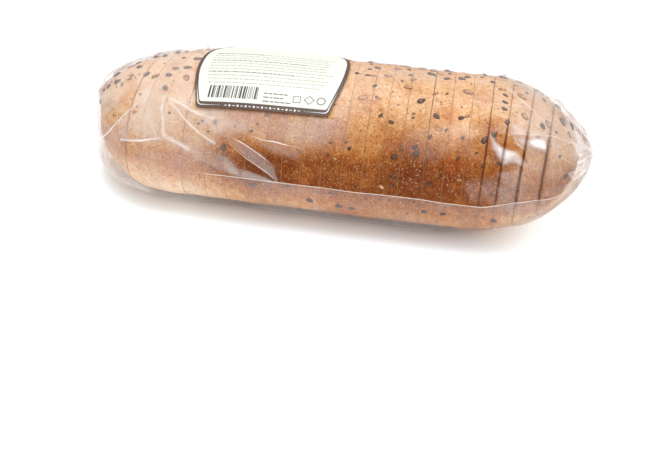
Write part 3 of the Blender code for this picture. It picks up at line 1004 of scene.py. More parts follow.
def sprinkle(name, shape, finish, rule, lift, first=(), dusted=None):
    """Spreads a kind of seed over the crust, thicker towards the crest and clear of the cuts."""
    draw = np.random.default_rng(rule["seed"])
    low, high = rule["spread"]
    x = draw.uniform(*SOWN, rule["count"] * 8)
    angle = draw.normal(90.0, 60.0, len(x))
    if dusted:
        close = [draw.normal(dusted["middle"][i], dusted["spread"][i], dusted["count"]) for i in (0, 1)]
        x, angle = np.concatenate([close[0], x]), np.concatenate([close[1], angle])
    nearest = np.abs(x[:, None] - np.array(cuts)[None, :]).min(axis=1)
    free = (angle > low) & (angle < high) & (x > SOWN[0]) & (x < SOWN[1])
    free &= nearest > 0.3 + 0.5 * rule["half"]
    for other_x, other_angle, _, half_length in large_seeds:
        room = 0.8 + half_length + 0.7 * rule["half"]
        free &= (np.abs(x - other_x) > room) | (np.abs(angle - other_angle) > room)
    x, angle = x[free][:rule["count"]], angle[free][:rule["count"]]
    half = rule["half"] * draw.uniform(0.65, 1.25, len(x))
    spin = draw.uniform(0.0, math.tau, len(x))
    if first:
        chosen = np.array(first, float).T
        chosen[3] = np.radians(chosen[3])
        x, angle, half, spin = (np.append(a, b) for a, b in zip(chosen, (x, angle, half, spin)))
    points, facing = seat(x, angle)
    piece = set_on_points(name, shape, finish, points, facing, spin, sizes(half, rule["shape"]), lift)
    finish_piece(piece)
    print(len(x), name, "with", len(piece.data.polygons), "faces")


def clear_away(*shapes):
    """Removes the small shapes once the pieces that are made of them are finished."""
    for shape in shapes:
        bpy.data.objects.remove(shape)


sprinkle("golden_seeds", seed_shape, golden_seed, GOLDEN, 0.1)
sprinkle("small_brown_grains", speck_shape, brown_grain, SMALL_BROWN, 0.1)
sprinkle("grain_flakes", flake_shape, pale_flake, FLAKES, 0.05, FRONT_FLAKES)
sprinkle("specks", speck_shape, speck, SPECKS, 0.05, dusted=DUSTED)
clear_away(seed_shape, flake_shape, speck_shape)

# %% [markdown]
# ## The film
#
# The bag is thin clear film, pulled tight. Where it is tight it shows only as gloss. Where it is gathered,
# folded or doubled it turns milky, because light is scattered at each layer. So the film is one closed
# skin just over the crust, with low folds as real shape, and a number for each point that says how milky
# it is. Creases cut the film into flat facets, and each facet has its own milkiness. That number also
# carries painted highlights: the white of a few facets at the right end, of the sharp folds and of the veil
# over the crest partly stands for the lamps mirrored in the film. Facets and folds are named by their
# corners on the skin, as (x, angle).

# %% Facets of the film
FACETS = [
    # haze, width of the soft edge in mm, corners
    (0.20, 9.0, [(-142, 60), (-96, 60), (-92, 125), (-105, 128), (-135, 181), (-142, 200)]),
    (0.30, 14.0, [(-142, 178), (-120, 188), (-110, 225), (-142, 245)]),
    (0.26, 16.0, [(-107, 60), (-80, 60), (-74, 134), (-93, 128), (-106, 119)]),
    (0.06, 1.0, [(-129, 150), (-114, 118), (-109, 120), (-111, 134), (-122, 154)]),
    (0.30, 5.0, [(-113, 140), (-107, 128), (-106, 119), (-93, 125), (-89, 153), (-114, 161), (-122, 165)]),
    (0.18, 3.0, [(-89, 127), (-63, 140), (-56, 148), (-61, 156), (-80, 160), (-87, 154)]),
    (0.14, 1.6, [(-112, 162), (-88, 158), (-85, 164), (-112, 175)]),
    (0.40, 7.0, [(-71, 128), (-55, 133), (-44, 136), (-43, 145), (-58, 149), (-70, 143)]),
    (0.22, 18.0, [(-60, 132), (4, 128), (8, 143), (-10, 151), (-28, 150), (-43, 147), (-56, 145)]),
    (0.17, 1.4, [(-56, 149), (-44, 154), (-35, 160), (-28, 167), (-25, 177), (-34, 170), (-44, 163),
                 (-54, 154)]),
    (0.12, 4.0, [(-43, 149), (-28, 152), (-14, 154), (-16, 160), (-30, 157)]),
    (0.26, 1.6, [(-46, 171), (-41, 172), (-32, 175), (-26, 177), (-43, 177), (-47, 176)]),
    (0.24, 3.0, [(-90, 156), (-68, 160), (-54, 164), (-46, 172), (-47, 176), (-54, 174), (-68, 168)]),
    # these four facets at the right end are painted highlights: the lamps mirrored in the film, painted as
    # milkiness
    (0.50, 2.4, [(83, 131), (86, 135), (90, 138), (96, 138), (100, 141), (103, 146), (96, 145), (91, 148),
                 (85, 139)]),
    (0.86, 2.0, [(87, 137), (92, 139), (96, 140), (94, 144), (90, 144), (88, 141)]),
    (0.46, 2.6, [(97, 130), (102, 127), (106, 124), (112, 122), (112, 132), (105, 132), (99, 133)]),
    (0.88, 2.0, [(103, 129), (107, 126), (111, 125), (112, 131), (106, 131)]),
    (0.30, 2.6, [(93, 121), (116, 118), (128, 118), (128, 122), (115, 124), (94, 127)]),
    (0.20, 3.0, [(89, 154), (103, 148), (102, 164), (92, 160)]),
    (0.11, 8.0, [(74, 163), (88, 158), (95, 166), (90, 173), (77, 172)]),
    (0.20, 6.0, [(91, 161), (104, 159), (103, 176), (90, 177)]),
    (0.02, 1.0, [(85, 129), (94, 128), (102, 136), (103, 143), (97, 138), (89, 137)]),
]
MM_PER_DEGREE = 0.87          # along the skin, for a loaf of this girth


def on_plane(x, angle):
    """The skin unrolled to a plane, in millimetres."""
    return np.stack([np.asarray(x, float), np.asarray(angle, float) * MM_PER_DEGREE], -1)


def distance_to_path(here, corners):
    """Distance from points of the unrolled skin to a path, in millimetres."""
    nearest = np.full(here.shape[:-1], 1e9)
    for a, b in zip(corners, corners[1:]):
        run = b - a
        share = np.clip(((here - a) @ run) / (run @ run), 0.0, 1.0)
        nearest = np.minimum(nearest, np.linalg.norm(here - a - share[..., None] * run, axis=-1))
    return nearest


def facet_cover(here, corners, soft):
    """1 inside a closed outline, 0 outside it, with an edge that is soft millimetres wide."""
    inside = np.zeros(here.shape[:-1], dtype=bool)
    for (ax, ay), (bx, by) in zip(corners, np.roll(corners, -1, axis=0)):
        if ay != by:
            crossing = ax + (here[..., 1] - ay) * (bx - ax) / (by - ay)
            inside ^= ((ay > here[..., 1]) != (by > here[..., 1])) & (here[..., 0] < crossing)
    away = distance_to_path(here, np.vstack([corners, corners[:1]]))
    return ease(0.5 + np.where(inside, away, -away) / soft)


print(len(FACETS), "facets")

# %% Folds of the film
FOLDS = [
    # height, half width, milkiness, which is partly a painted highlight, path on the skin
    (0.30, 0.7, 0.50, [(-135, 181), (-127, 166), (-119, 151), (-113, 140), (-109, 134), (-105, 128)]),
    (0.35, 0.9, 0.70, [(-114, 161), (-101, 158), (-91, 155)]),
    (0.30, 1.0, 0.66, [(-93, 125), (-92, 136), (-90, 145), (-89, 153)]),
    (0.35, 1.9, 0.62, [(-89, 153), (-84, 156), (-75, 161)]),
    (0.30, 1.0, 0.72, [(-89, 127), (-81, 132), (-73, 137), (-63, 140)]),
    (0.25, 1.1, 0.55, [(-89, 129), (-79, 141), (-70, 150), (-61, 156)]),
    (0.12, 0.3, 0.05, [(-56, 149), (-44, 155), (-35, 161), (-28, 166)]),
    (0.12, 0.3, 0.05, [(-54, 154), (-44, 163), (-36, 168), (-30, 172), (-26, 177)]),
    (0.20, 0.4, 0.15, [(-43, 148), (-38, 150), (-34, 151), (-28, 151), (-21, 152), (-14, 153)]),
    (0.20, 1.3, 0.26, [(93, 105), (106, 104), (116, 99)]),
    (0.25, 0.6, 0.35, [(94, 127), (97, 133), (102, 136)]),
    (0.35, 1.0, 0.48, [(94, 127), (104, 124), (116, 120), (128, 120), (135, 146)]),
    (0.35, 0.9, 0.48, [(122, 105), (129, 127), (135, 151)]),
    (0.35, 1.2, 0.50, [(122, 63), (131, 95), (138, 130)]),
    (0.35, 0.9, 0.52, [(127, 153), (133, 154), (138, 168)]),
    (0.35, 1.1, 0.50, [(125, 185), (131, 178), (137, 174)]),
    (0.50, 1.5, 0.50, [(138, 176), (129, 190), (112, 197), (91, 205)]),
    (0.35, 1.0, 0.50, [(139, 168), (132, 178), (121, 184), (104, 186)]),
    (0.30, 0.7, 0.36, [(139, 140), (134, 124), (127, 108), (118, 96)]),
    (0.30, 0.6, 0.34, [(138, 158), (131, 146), (123, 138), (112, 133)]),
    (0.30, 0.8, 0.52, [(127, 153), (130, 164), (138, 168)]),
    (0.25, 1.0, 0.50, [(80, 68), (91, 75), (102, 77), (112, 80), (120, 84), (127, 92)]),
    (0.20, 1.4, 0.40, [(90, 91), (98, 99), (104, 105), (109, 110), (117, 119)]),
    (0.25, 0.9, 0.50, [(116, 84), (124, 98), (131, 116), (136, 134)]),
]
SEAM_ANGLE = 176.6
SEAM_START, SEAM_STOP = -72.0, 139.0


def seam_angle(x):
    """The lap of the film runs along the widest line and is drawn up before the gathered end."""
    x = np.asarray(x, float)
    return SEAM_ANGLE - 8.0 * ease((x - 80.0) / 30.0) + 4.0 * ease((x - 108.0) / 18.0)


print(len(FOLDS), "folds")

# %% The film's height


def film_height(x, angle, points):
    """Height of the film above its smooth form."""
    from_left, from_right = x - FILM["left"], FILM["right"] - x
    tight = ease((from_left - 12.0) / 16.0) * ease((from_right - 12.0) / 16.0)
    diagonal = np.stack([points[..., 0] + 0.5 * points[..., 2], points[..., 2] * 2.6, points[..., 1]], -1)
    height = 0.12 * hills(points, 9.0, 11) * tight - 0.15
    height = height + (0.10 * tight + 0.35 * (1.0 - tight)) * hills(diagonal, 11.0, 12)
    for cut, gap in zip(cuts, CUT_GAPS):
        height = height - (0.12 + 0.10 * gap) * bell(beside_cut(cut, x, points), 1.6) * tight
    for seed_x, seed_angle, _, half_length in large_seeds[large_seeds[:, 3] >= BULGING]:
        away = np.hypot(x - seed_x, (angle - seed_angle) * MM_PER_DEGREE)
        height = np.maximum(height, 0.38 * half_length * bell(away, 0.9 + half_length))
    turn = np.radians(angle)
    # pleats at the gathered end, and wider waves where the left end is tucked under
    gather = ease(1.0 - from_right / 34.0) * ease(from_right / 7.0)
    pleats = 0.5 * np.cos(11.0 * turn + 0.4) + 0.3 * np.cos(17.0 * turn + 2.0) + 0.2 * np.cos(29.0 * turn)
    tuck = ease(1.0 - from_left / 26.0) * ease(from_left / 4.0)
    height = height + gather * (0.9 * pleats - 0.5)
    height = height + tuck * (0.7 * np.cos(9.0 * turn + 1.0) + 0.4 * np.cos(15.0 * turn) - 0.4)
    bare = 1.0 - under_label(x, angle, 2.0)
    here = on_plane(x, angle)
    for rise, half_width, _, path in FOLDS:
        away = distance_to_path(here, on_plane(*zip(*path)))
        height = height + rise * bare * bell(away, half_width + 0.6)
    height = height * bare - 0.12 * (1.0 - bare)
    return height * ease((points[..., 2] - 0.3) / 5.0)


def on_film(x, angle, lift=0.0):
    """Points on the film's real surface, with its folds, lifted by lift and never under the table."""
    x, angle = np.broadcast_arrays(np.asarray(x, float), np.asarray(angle, float))
    smooth = skin(FILM, x, angle)
    points = smooth + outward(FILM, x, angle) * (film_height(x, angle, smooth) + lift)[..., None]
    points[..., 2] = np.maximum(points[..., 2], 0.0)
    return points


print("the front of the film at x 0 and 150 degrees:", on_film(0.0, 150.0).round(1))

# %% The film's haze
CLEAR = 0.002                 # haze of tight film
VEIL, VEIL_PATCHES = 0.03, 0.10
CREST_HAZE, LEFT_HAZE, RIGHT_HAZE = 0.12, 0.19, 0.13
CREST_END_HAZE = 0.11
GATHER_HAZE, WALL_HAZE = 0.74, 0.42


def film_haze(x, angle, points):
    """How milky the film is: a little along the upper front, more at both ends, then facets and folds.
    Part of that milkiness is painted highlight, in the veil, in the folds and in a few facets at the right
    end.
    """
    from_left, from_right = x - FILM["left"], FILM["right"] - x
    cloud = 0.5 + 0.5 * hills(points * (0.8, 1.0, 1.3), 13.0, 15)
    patches = ease((cloud - 0.30) / 0.35)
    lean, flat = points[..., 0] + 0.8 * points[..., 2], points * 0.5
    streaks = 0.5 + 0.5 * hills(np.stack([lean, flat[..., 2], flat[..., 1]], -1), 4.5, 19)
    # the veil lies from the crest down to a wandering brim; it is partly milky film and partly a painted
    # reflection of the lamp over the crest
    brim = 154.0 + 7.0 * hills(points * (1.0, 0.0, 0.0), 17.0, 18)
    veil = ease((angle - 62.0) / 20.0) * ease((brim - angle) / 10.0)
    veil = veil * (0.55 + 0.45 * ease((150.0 - angle) / 26.0))
    top = ease((angle - 15.0) / 40.0)
    haze = CLEAR + veil * (VEIL + VEIL_PATCHES * patches) + CREST_HAZE * ease((100.0 - angle) / 18.0) * top
    haze = haze + LEFT_HAZE * ease((-40.0 - x) / 40.0) * (0.4 + 0.6 * top)
    haze = haze + RIGHT_HAZE * ease((x - 88.0) / 20.0)
    # at both ends of the crest the film stands off the bread and looks white
    haze = haze + CREST_END_HAZE * ease((100.0 - angle) / 25.0) * ease((np.abs(x + 4.0) - 88.0) / 18.0) * top
    here = on_plane(x, angle)
    for milk, soft, corners in FACETS:
        cover = facet_cover(here, on_plane(*zip(*corners)), soft)
        haze = haze + (milk * (0.5 + 0.4 * cloud + 0.6 * streaks) - haze) * cover
    # the folds are milky creases, and their white is partly a painted highlight of the lamps mirrored in
    # them
    for _, half_width, milk, path in FOLDS:
        away = distance_to_path(here, on_plane(*zip(*path)))
        haze = np.maximum(haze, milk * bell(away, half_width, 1.4))
    gathered = ease(1.0 - from_right / 27.0) * (0.5 + 0.5 * hills(points * (0.3, 1.0, 1.0), 4.0, 16))
    wall = ease(1.0 - from_left / 12.0) * (0.6 + 0.4 * hills(points, 6.0, 17))
    haze = np.maximum(haze, GATHER_HAZE * gathered)
    haze = np.maximum(haze, WALL_HAZE * wall)
    # over an open cut the film is clear
    for number, depth in OPEN_CUTS.items():
        away = beside_cut(cuts[number], x, points)
        haze = haze * (1.0 - 0.75 * low_front(angle) * bell(away, 0.7 + 0.5 * depth))
    return haze * (1.0 - under_label(x, angle, 1.0))


front_haze = film_haze(0.0, 150.0, skin(FILM, 0.0, 150.0))
print("haze at that point:", round(float(front_haze), 3))

# %% [markdown]
# Clear film does two things to light. A small share is mirrored, more where the film is seen edge-on, and
# where the film is milky a share is scattered. The material's alpha is the sum of both shares, so all the
# rest of the light goes through. Metallic is the mirrored part of that sum: a metal only mirrors. A fine
# bump gives the tiny crinkles that make film sparkle.

# %% Film material and mesh
MIRRORED = 0.001              # the share that film mirrors when it is seen straight on


def film_material(name, haze, milk="f4ece8", roughness=0.12):
    n = Nodes(name)
    place = n.place()
    edge = n.add("ShaderNodeLayerWeight", Blend=0.2).outputs["Fresnel"]
    mirror = n.math("ADD", n.math("MULTIPLY", edge, 0.55), MIRRORED)
    cloud = n.span(n.noise(place, 160.0, 4.0, 0.65), 0.3, 0.7, 0.75, 1.25)
    # milkiness from the point numbers, which also carry painted highlights
    milky = n.math("MULTIPLY", n.value_of("haze") if haze is None else haze, cloud)
    alpha = n.math("MINIMUM", n.math("ADD", milky, mirror), 0.94)
    n.finish(Base_Color=paint(milk), Metallic=n.math("DIVIDE", mirror, alpha, clamp=True),
             Roughness=roughness, Alpha=alpha)
    n.bump(n.noise(place, 260.0, 2.0, 0.5), 0.12, 0.0005)
    return n.material


film_finish = film_material("clear_film", None)


END_LENGTH = 30.0


def film_stations():
    """Rings close together at the ends, where the film turns in, and even between."""
    turn = 1.0 - np.cos(np.linspace(0.0, math.pi / 2, 46))
    left = FILM["left"] + END_LENGTH * turn
    right = FILM["right"] - END_LENGTH * turn[::-1]
    middle = np.linspace(left[-1], right[0], 300)[1:-1]
    return np.concatenate([left, middle, right])


def film_angles():
    """Columns close together over the front, where the creases are, and wider apart behind."""
    front = np.linspace(88.0, 214.0, 150, endpoint=False)
    return np.concatenate([front, np.linspace(214.0, 448.0, 96, endpoint=False)])


def make_film():
    x, angle = np.meshgrid(film_stations(), film_angles(), indexing="ij")
    angle = np.where(angle > 270.0, angle - 360.0, angle)
    haze = film_haze(x, angle, skin(FILM, x, angle))
    points, faces = closed_skin(on_film(x, angle))
    film = make_object("film", points, faces, [film_finish])
    add_values(film.data, "haze", np.append(haze, [0.2, 0.2]))
    finish_piece(film)
    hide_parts("bag")
    return film


film = make_film()
print("film:", len(film.data.polygons), "faces")

# %% [markdown]
# ## The lap of the film
#
# The bag is a tube, welded along its length. Below the weld line the film is double, so the bread looks
# paler there. The second layer is a strip of film a quarter of a millimetre outside the first. Its upper
# edge is a thin bright bead, made by Geometry Nodes: a curve along the weld gets a round profile. Its white
# is partly a milky weld and partly a painted highlight.

# %% A node tree that gives a curve a round profile


def bead_tree():
    """Geometry Nodes: a round bead along each chain of edges, as thick as the attribute width says."""
    t = Tree("bead_on_path", Thickness="Float", Sides="Int")
    path = t.add("GeometryNodeMeshToCurve", _0=t.inputs["Geometry"]).outputs[0]
    circle = t.add("GeometryNodeCurvePrimitiveCircle", Radius=t.inputs["Thickness"],
                   Resolution=t.inputs["Sides"])
    bead = t.add("GeometryNodeCurveToMesh", Curve=path, Profile_Curve=circle.outputs["Curve"],
                 Scale=t.value_of("width"), Fill_Caps=True)
    t.end(bead.outputs[0])
    return t


BEAD_ON_PATH = bead_tree()
BEAD_SIDES = 6


def taper(count, end=0.1, run=0.5):
    """Widths along a path that is thin at both ends."""
    along = np.linspace(0.0, 1.0, count)
    return end + (1.0 - end) * ease(np.minimum(along, 1.0 - along) / run)


def make_beads(name, paths, thickness, finish, widths=None):
    """Beads along paths, each an array of points in millimetres. They become one plain mesh."""
    widths = widths or [taper(len(path)) for path in paths]
    edges, first = [], 0
    for path in paths:
        edges += [(first + i, first + i + 1) for i in range(len(path) - 1)]
        first += len(path)
    mesh = bare_mesh(name, np.concatenate(paths), edges)
    return BEAD_ON_PATH.run(name, mesh, {"width": np.concatenate(widths)}, Thickness=thickness * MM,
                            Sides=BEAD_SIDES, Finish=finish)


print("bead inputs:", [socket.name for socket in BEAD_ON_PATH.inputs if socket.name])

# %% The second layer and its bead
LAP_GAP = 0.25
LAP_DEGREES = 78.0
lap_finish = film_material("double_film", None)
# the beads are partly milky and partly a painted highlight: the white of the lamps mirrored in film edges
# and creases
bead_highlight_finish = film_material("film_edge_highlight", 0.8, "fff3e6", 0.2)


def make_lap():
    x, down = np.linspace(SEAM_START, SEAM_STOP, 300), np.linspace(0.0, 1.0, 60) ** 1.3
    xs, share = np.meshgrid(x, down, indexing="ij")
    angle = seam_angle(xs) + LAP_DEGREES * share
    wander = 0.35 * hills(np.stack([xs, share * 0.0, share * 0.0], -1), 16.0, 21)
    angle = angle + wander * (1.0 - share)
    points = on_film(xs, angle, LAP_GAP)
    lap = make_object("film_lap", points.reshape(-1, 3), ring_faces(*xs.shape, closed=False), [lap_finish])
    ends = ease((xs - SEAM_START) / 30.0)
    cloud = 0.5 + 0.5 * hills(points * (0.6, 1.0, 1.6), 9.0, 22)
    add_values(lap.data, "haze", (0.07 + 0.09 * cloud) * ends)
    finish_piece(lap)
    return lap, points[:, 0]


film_lap, lap_edge = make_lap()
edge_widths = taper(len(lap_edge), 0.3, 0.06) * (0.75 + 0.35 * hills(lap_edge, 7.0, 23))
lap_bead = make_beads("film_lap_edge", [lap_edge], 0.22, bead_highlight_finish, [edge_widths])
finish_piece(lap_bead)
print("lap:", len(film_lap.data.polygons), "faces, bead:", len(lap_bead.data.polygons), "faces")

# %% Bright lines on the sharpest folds
# the bright lines are partly milky creases and partly painted highlights of the lamps mirrored in the folds
SHARP_FOLDS = [
    # number of the fold, thickness in mm
    (0, 0.32), (1, 0.36), (2, 0.26), (3, 0.22), (4, 0.36), (5, 0.22), (6, 0.24), (7, 0.27), (8, 0.42),
    (10, 0.16), (11, 0.16), (12, 0.16), (13, 0.16), (14, 0.20), (15, 0.18), (16, 0.16), (17, 0.14),
    (18, 0.12), (19, 0.10), (20, 0.14), (21, 0.18), (22, 0.12), (23, 0.18),
]


def fold_line(path, step=0.7):
    """Points close together along a fold, on the film. The line wanders a little about its corners."""
    corners = np.array(path, float)
    runs = np.linalg.norm(np.diff(on_plane(corners[:, 0], corners[:, 1]), axis=0), axis=1)
    along = np.concatenate([[0.0], np.cumsum(runs)])
    places = np.linspace(0.0, along[-1], max(4, int(along[-1] / step)))
    x, angle = np.interp(places, along, corners[:, 0]), np.interp(places, along, corners[:, 1])
    wander = 0.45 * hills(np.stack([x, angle, angle * 0.0], -1), 6.0, 24)
    return on_film(x + wander, angle + wander, 0.05)


fold_paths = [fold_line(FOLDS[number][3]) for number, _ in SHARP_FOLDS]
fold_widths = [thickness * taper(len(path)) * (0.75 + 0.6 * hills(path, 5.0, 25))
               for (_, thickness), path in zip(SHARP_FOLDS, fold_paths)]
fold_beads = make_beads("film_fold_lines", fold_paths, 1.0, bead_highlight_finish, fold_widths)
finish_piece(fold_beads)
print(len(SHARP_FOLDS), "fold lines")

# %% [markdown]
# ## The label
#
# The label is print on the film, so it follows the film exactly and wraps over the crest. It is drawn flat
# first, in millimetres across and up from its foot, and each piece is then wrapped: every point finds its
# place on the skin. The order is a brown plate, a cream field on it, and the marks on that: rows of plain
# dashes, a block of bars and three plain shapes.

# %% Wrap flat drawings onto the film
table_angles = np.linspace(LABEL_FOOT_ANGLE, LABEL_TOP_ANGLE, 200)
table_points = skin(FILM, LABEL_MIDDLE, table_angles)
steps = np.linalg.norm(np.diff(table_points, axis=0), axis=1)
table_heights = np.concatenate([[0.0], np.cumsum(steps)])
LABEL_HEIGHT = float(table_heights[-1])
print("the label is", round(LABEL_HEIGHT, 1), "mm high along the film")


def on_label(across, up, lift):
    """Places on the film for distances across from the label's middle and up from its foot."""
    x = LABEL_MIDDLE + np.asarray(across, float)
    angle = np.interp(up, table_heights, table_angles) + LABEL_TURN * (x - LABEL_MIDDLE)
    return skin(FILM, x, angle) + outward(FILM, x, angle) * np.asarray(lift, float)[..., None]


def wrap(piece):
    """Bends a flat piece, made in the label's own plane, onto the film."""
    flat = np.empty(len(piece.data.vertices) * 3, dtype=np.float32)
    piece.data.vertices.foreach_get("co", flat)
    flat = flat.reshape(-1, 3) / MM
    bent = on_label(flat[:, 0], flat[:, 1], flat[:, 2]) * MM
    piece.data.vertices.foreach_set("co", bent.astype(np.float32).ravel())
    piece.data.update()
    return piece


# %% Print colours


PRINT_ROUGHNESS = 0.42


def print_material(name, colour, shade, roughness=PRINT_ROUGHNESS):
    """Ink on film: nearly even, with faint clouds where the ink is thin."""
    n = Nodes(name)
    place = n.place()
    clouds = n.noise(place, 120.0, 2.0)
    fine = n.noise(place, 1500.0, 2.0)
    n.finish(Base_Color=n.blend(n.span(clouds, 0.3, 0.7), paint(colour), paint(shade)),
             Roughness=n.span(fine, 0.3, 0.7, roughness - 0.05, roughness + 0.08))
    n.bump(fine, 0.08, 0.0002)
    return n.material


brown_print = print_material("brown_print", "4f3b33", "5a463d")
cream_print = print_material("cream_print", "e9ebe0", "e4e7da")
white_print = print_material("white_print", "fbfaf4", "f3f1e8")
grey_print = print_material("grey_print", "b4b5a6", "bfc0b1")
dark_print = print_material("dark_print", "7c7b72", "8a897f")
black_print = print_material("black_print", "30302e", "3c3c3a")

# %% The plate and the field
FIELD_SIDE_INSET = 1.9
FIELD_FOOT = 3.7
FIELD_TOP_INSET = 2.0


def make_plate(name, finish, foot, top, inset, corner, low, high):
    """A thin closed plate in the label's plane, between two heights along the film."""
    rows, columns = 46, 60
    share = 0.5 - 0.5 * np.cos(np.linspace(0.0, math.pi, rows + 1))
    up = foot + (top - foot) * share
    half = label_half_width(np.clip(up / LABEL_HEIGHT, 0.06, 1.0)) - inset
    half = half - corner * (1.0 - fullness(up - foot, corner))
    across = np.linspace(-1.0, 1.0, columns + 1)
    u, v = half[:, None] * across[None, :], np.broadcast_to(up[:, None], (rows + 1, columns + 1))
    layers = [np.stack([u, v, np.full(u.shape, lift)], -1).reshape(-1, 3) for lift in (low, high)]
    count = len(layers[0])
    faces = []
    for face in ring_faces(rows + 1, columns + 1, closed=False):
        faces.append(tuple(i + count for i in face))
        faces.append(tuple(face[::-1]))
    rim = [c for c in range(columns + 1)] + [r * (columns + 1) + columns for r in range(1, rows + 1)]
    rim += [rows * (columns + 1) + c for c in range(columns - 1, -1, -1)]
    rim += [r * (columns + 1) for r in range(rows - 1, 0, -1)]
    faces += [(a, a + count, b + count, b) for a, b in zip(rim, rim[1:] + rim[:1])]
    piece = make_object(name, np.concatenate(layers), faces, [finish])
    bm = bmesh.new()
    bm.from_mesh(piece.data)
    bmesh.ops.recalc_face_normals(bm, faces=bm.faces)
    bm.to_mesh(piece.data)
    bm.free()
    piece.data.set_sharp_from_angle(angle=math.radians(50.0))
    return finish_piece(wrap(piece))


label_plate = make_plate("label_plate", brown_print, 0.0, LABEL_HEIGHT, 0.0, LABEL_CORNER, 0.08, 0.30)
label_field = make_plate("label_field", cream_print, FIELD_FOOT, LABEL_HEIGHT - FIELD_TOP_INSET,
                         FIELD_SIDE_INSET, 1.2, 0.30, 0.36)
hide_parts("label")
print("plate and field:", len(label_plate.data.polygons) + len(label_field.data.polygons), "faces")

# %% The flat shapes of the marks


def build_bar(bm):
    bmesh.ops.create_cube(bm, size=2.0 * MM)
    bmesh.ops.subdivide_edges(bm, edges=bm.edges, cuts=2, use_grid_fill=True)


def frame_builder(sides, turn, inner):
    """A flat ring with any number of sides: 4 make a square frame, 24 a circle."""
    def build(bm):
        loops = []
        for radius, z in ((1.0, -1.0), (1.0, 1.0), (inner, 1.0), (inner, -1.0)):
            loops.append([bm.verts.new(Vector((
                radius * math.cos(turn + math.tau * i / sides),
                radius * math.sin(turn + math.tau * i / sides), z)) * MM) for i in range(sides)])
        for a, b in zip(loops, loops[1:] + loops[:1]):
            for i in range(sides):
                j = (i + 1) % sides
                bm.faces.new((a[i], a[j], b[j], b[i]))
    return build


bar_shape = shape_object("bar_shape", build_bar)
ring_shape = shape_object("ring_shape", frame_builder(28, 0.0, 0.72))
square_shape = shape_object("square_shape", frame_builder(4, math.pi / 4, 0.76))
lozenge_shape = shape_object("lozenge_shape", frame_builder(4, 0.0, 0.74))

INK_LOW, INK_HALF = 0.38, 0.03


def make_marks(name, shape, finish, places, half_sizes, lift=INK_LOW):
    """Flat marks at (across, up) places, each with its half width and half height."""
    points = [(u, v, lift) for u, v in places]
    size = [(a, b, INK_HALF) for a, b in half_sizes]
    piece = set_on_points(name, shape, finish, points, [(0.0, 0.0, 1.0)] * len(points),
                          [0.0] * len(points), size)
    piece.data.set_sharp_from_angle(angle=math.radians(50.0))
    return finish_piece(wrap(piece))


# %% Rows of dashes
TEXT_FOOT = 16.5
TEXT_ROW = 2.9
TEXT_ROWS = 11
DASH_HALF = 0.36
BOLD_ROWS = {3: 0.75, 7: 0.85, 10: 0.4}   # row number and how much of the row is bold


NOTE_ROWS = 3                 # short rows beside the bars, all bold
DASH_GAP = 0.5


def dash_rows():
    """Dashes of uneven length. Returns places and half sizes of plain and of bold ones."""
    draw = random.Random(5)
    plain, bold = [], []

    def fill(start, stop, up, lengths, half_height, bold_share):
        u = start
        while u < stop:
            length = draw.uniform(*lengths)
            is_bold = (u - start) / (stop - start) < bold_share
            (bold if is_bold else plain).append(((u + length / 2, up), (length / 2, half_height)))
            u += length + DASH_GAP

    for row in range(TEXT_ROWS):
        up = TEXT_FOOT + row * TEXT_ROW
        half = float(label_half_width(up / LABEL_HEIGHT)) - FIELD_SIDE_INSET
        fill(5.0 - half, half - draw.uniform(5.0, 12.0), up, (0.8, 3.4), DASH_HALF, BOLD_ROWS.get(row, 0.0))
    for row in range(NOTE_ROWS):
        fill(-0.5, 12.5 - draw.uniform(0.0, 3.0), 5.6 + row * 2.5, (1.2, 3.6), 0.4, 1.0)
    return plain, bold


plain_dashes, bold_dashes = dash_rows()
make_marks("label_rows", bar_shape, grey_print, *zip(*plain_dashes))
make_marks("label_bold_rows", bar_shape, dark_print, *zip(*bold_dashes))
print(len(plain_dashes), "plain dashes,", len(bold_dashes), "bold dashes")

# %% The block of bars
BARS_LEFT, BARS_RIGHT = -30.5, -3.5
BARS_FOOT, BARS_TOP = 6.2, 14.2


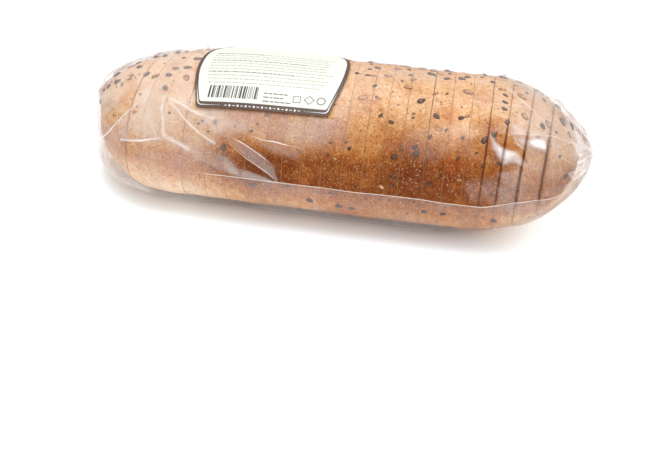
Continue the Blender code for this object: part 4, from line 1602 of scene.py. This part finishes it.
def bar_block():
    draw = random.Random(11)
    places, half_sizes = [], []
    u = BARS_LEFT
    while u < BARS_RIGHT:
        width = draw.choice((0.33, 0.33, 0.66, 0.99))
        places.append((u + width / 2, (BARS_FOOT + BARS_TOP) / 2))
        half_sizes.append((width / 2, (BARS_TOP - BARS_FOOT) / 2))
        u += width + draw.choice((0.33, 0.33, 0.66, 0.8))
    return places, half_sizes


bars = make_marks("label_bars", bar_shape, black_print, *bar_block())
print("bars:", len(bars.data.polygons), "faces")

# %% Plain shapes beside the bars, and the white line in the border
make_marks("label_ring", ring_shape, dark_print, [(30.6, 8.6)], [(2.5, 2.5)])
make_marks("label_lozenge", lozenge_shape, dark_print, [(24.2, 8.6)], [(3.1, 2.9)])
make_marks("label_square", square_shape, dark_print, [(17.6, 8.4)], [(3.0, 3.0)])

LINE_INSET = 1.0
LINE_UP = 1.75
LINE_TOP = 15.0
LINE_END = 22.5
LINE_TURN = 2.5               # radius of the line's corner
LINE_LIFT = 0.30
ORNAMENTS, ORNAMENT_PITCH = 19, 2.2
ORNAMENT_HALVES = ((0.7, 0.16), (0.45, 0.5))   # flat and high ones take turns


def corner_line(side):
    """The white line: down one side, round the corner, and along the foot, in the label's plane."""
    ups = np.linspace(LINE_TOP, LINE_UP + LINE_TURN, 14)
    down = [(float(label_half_width(max(v / LABEL_HEIGHT, 0.06))) - LINE_INSET, v) for v in ups]
    edge = down[-1][0]
    turn = [(edge - LINE_TURN + LINE_TURN * math.cos(a), LINE_UP + LINE_TURN - LINE_TURN * math.sin(a))
            for a in np.linspace(0.15, math.pi / 2, 8)]
    foot = [(u, LINE_UP) for u in np.linspace(edge - 3.2, LINE_END, 9)]
    flat = np.array(down + turn + foot)
    return on_label(side * flat[:, 0], flat[:, 1], np.full(len(flat), LINE_LIFT))


label_line = make_beads("label_line", [corner_line(-1), corner_line(1)], 0.34, white_print)
finish_piece(label_line)
make_marks("label_ornament", bar_shape, white_print,
           [((i - (ORNAMENTS - 1) / 2) * ORNAMENT_PITCH, LINE_UP) for i in range(ORNAMENTS)],
           [ORNAMENT_HALVES[i % 2] for i in range(ORNAMENTS)], 0.31)
clear_away(bar_shape, ring_shape, square_shape, lozenge_shape)
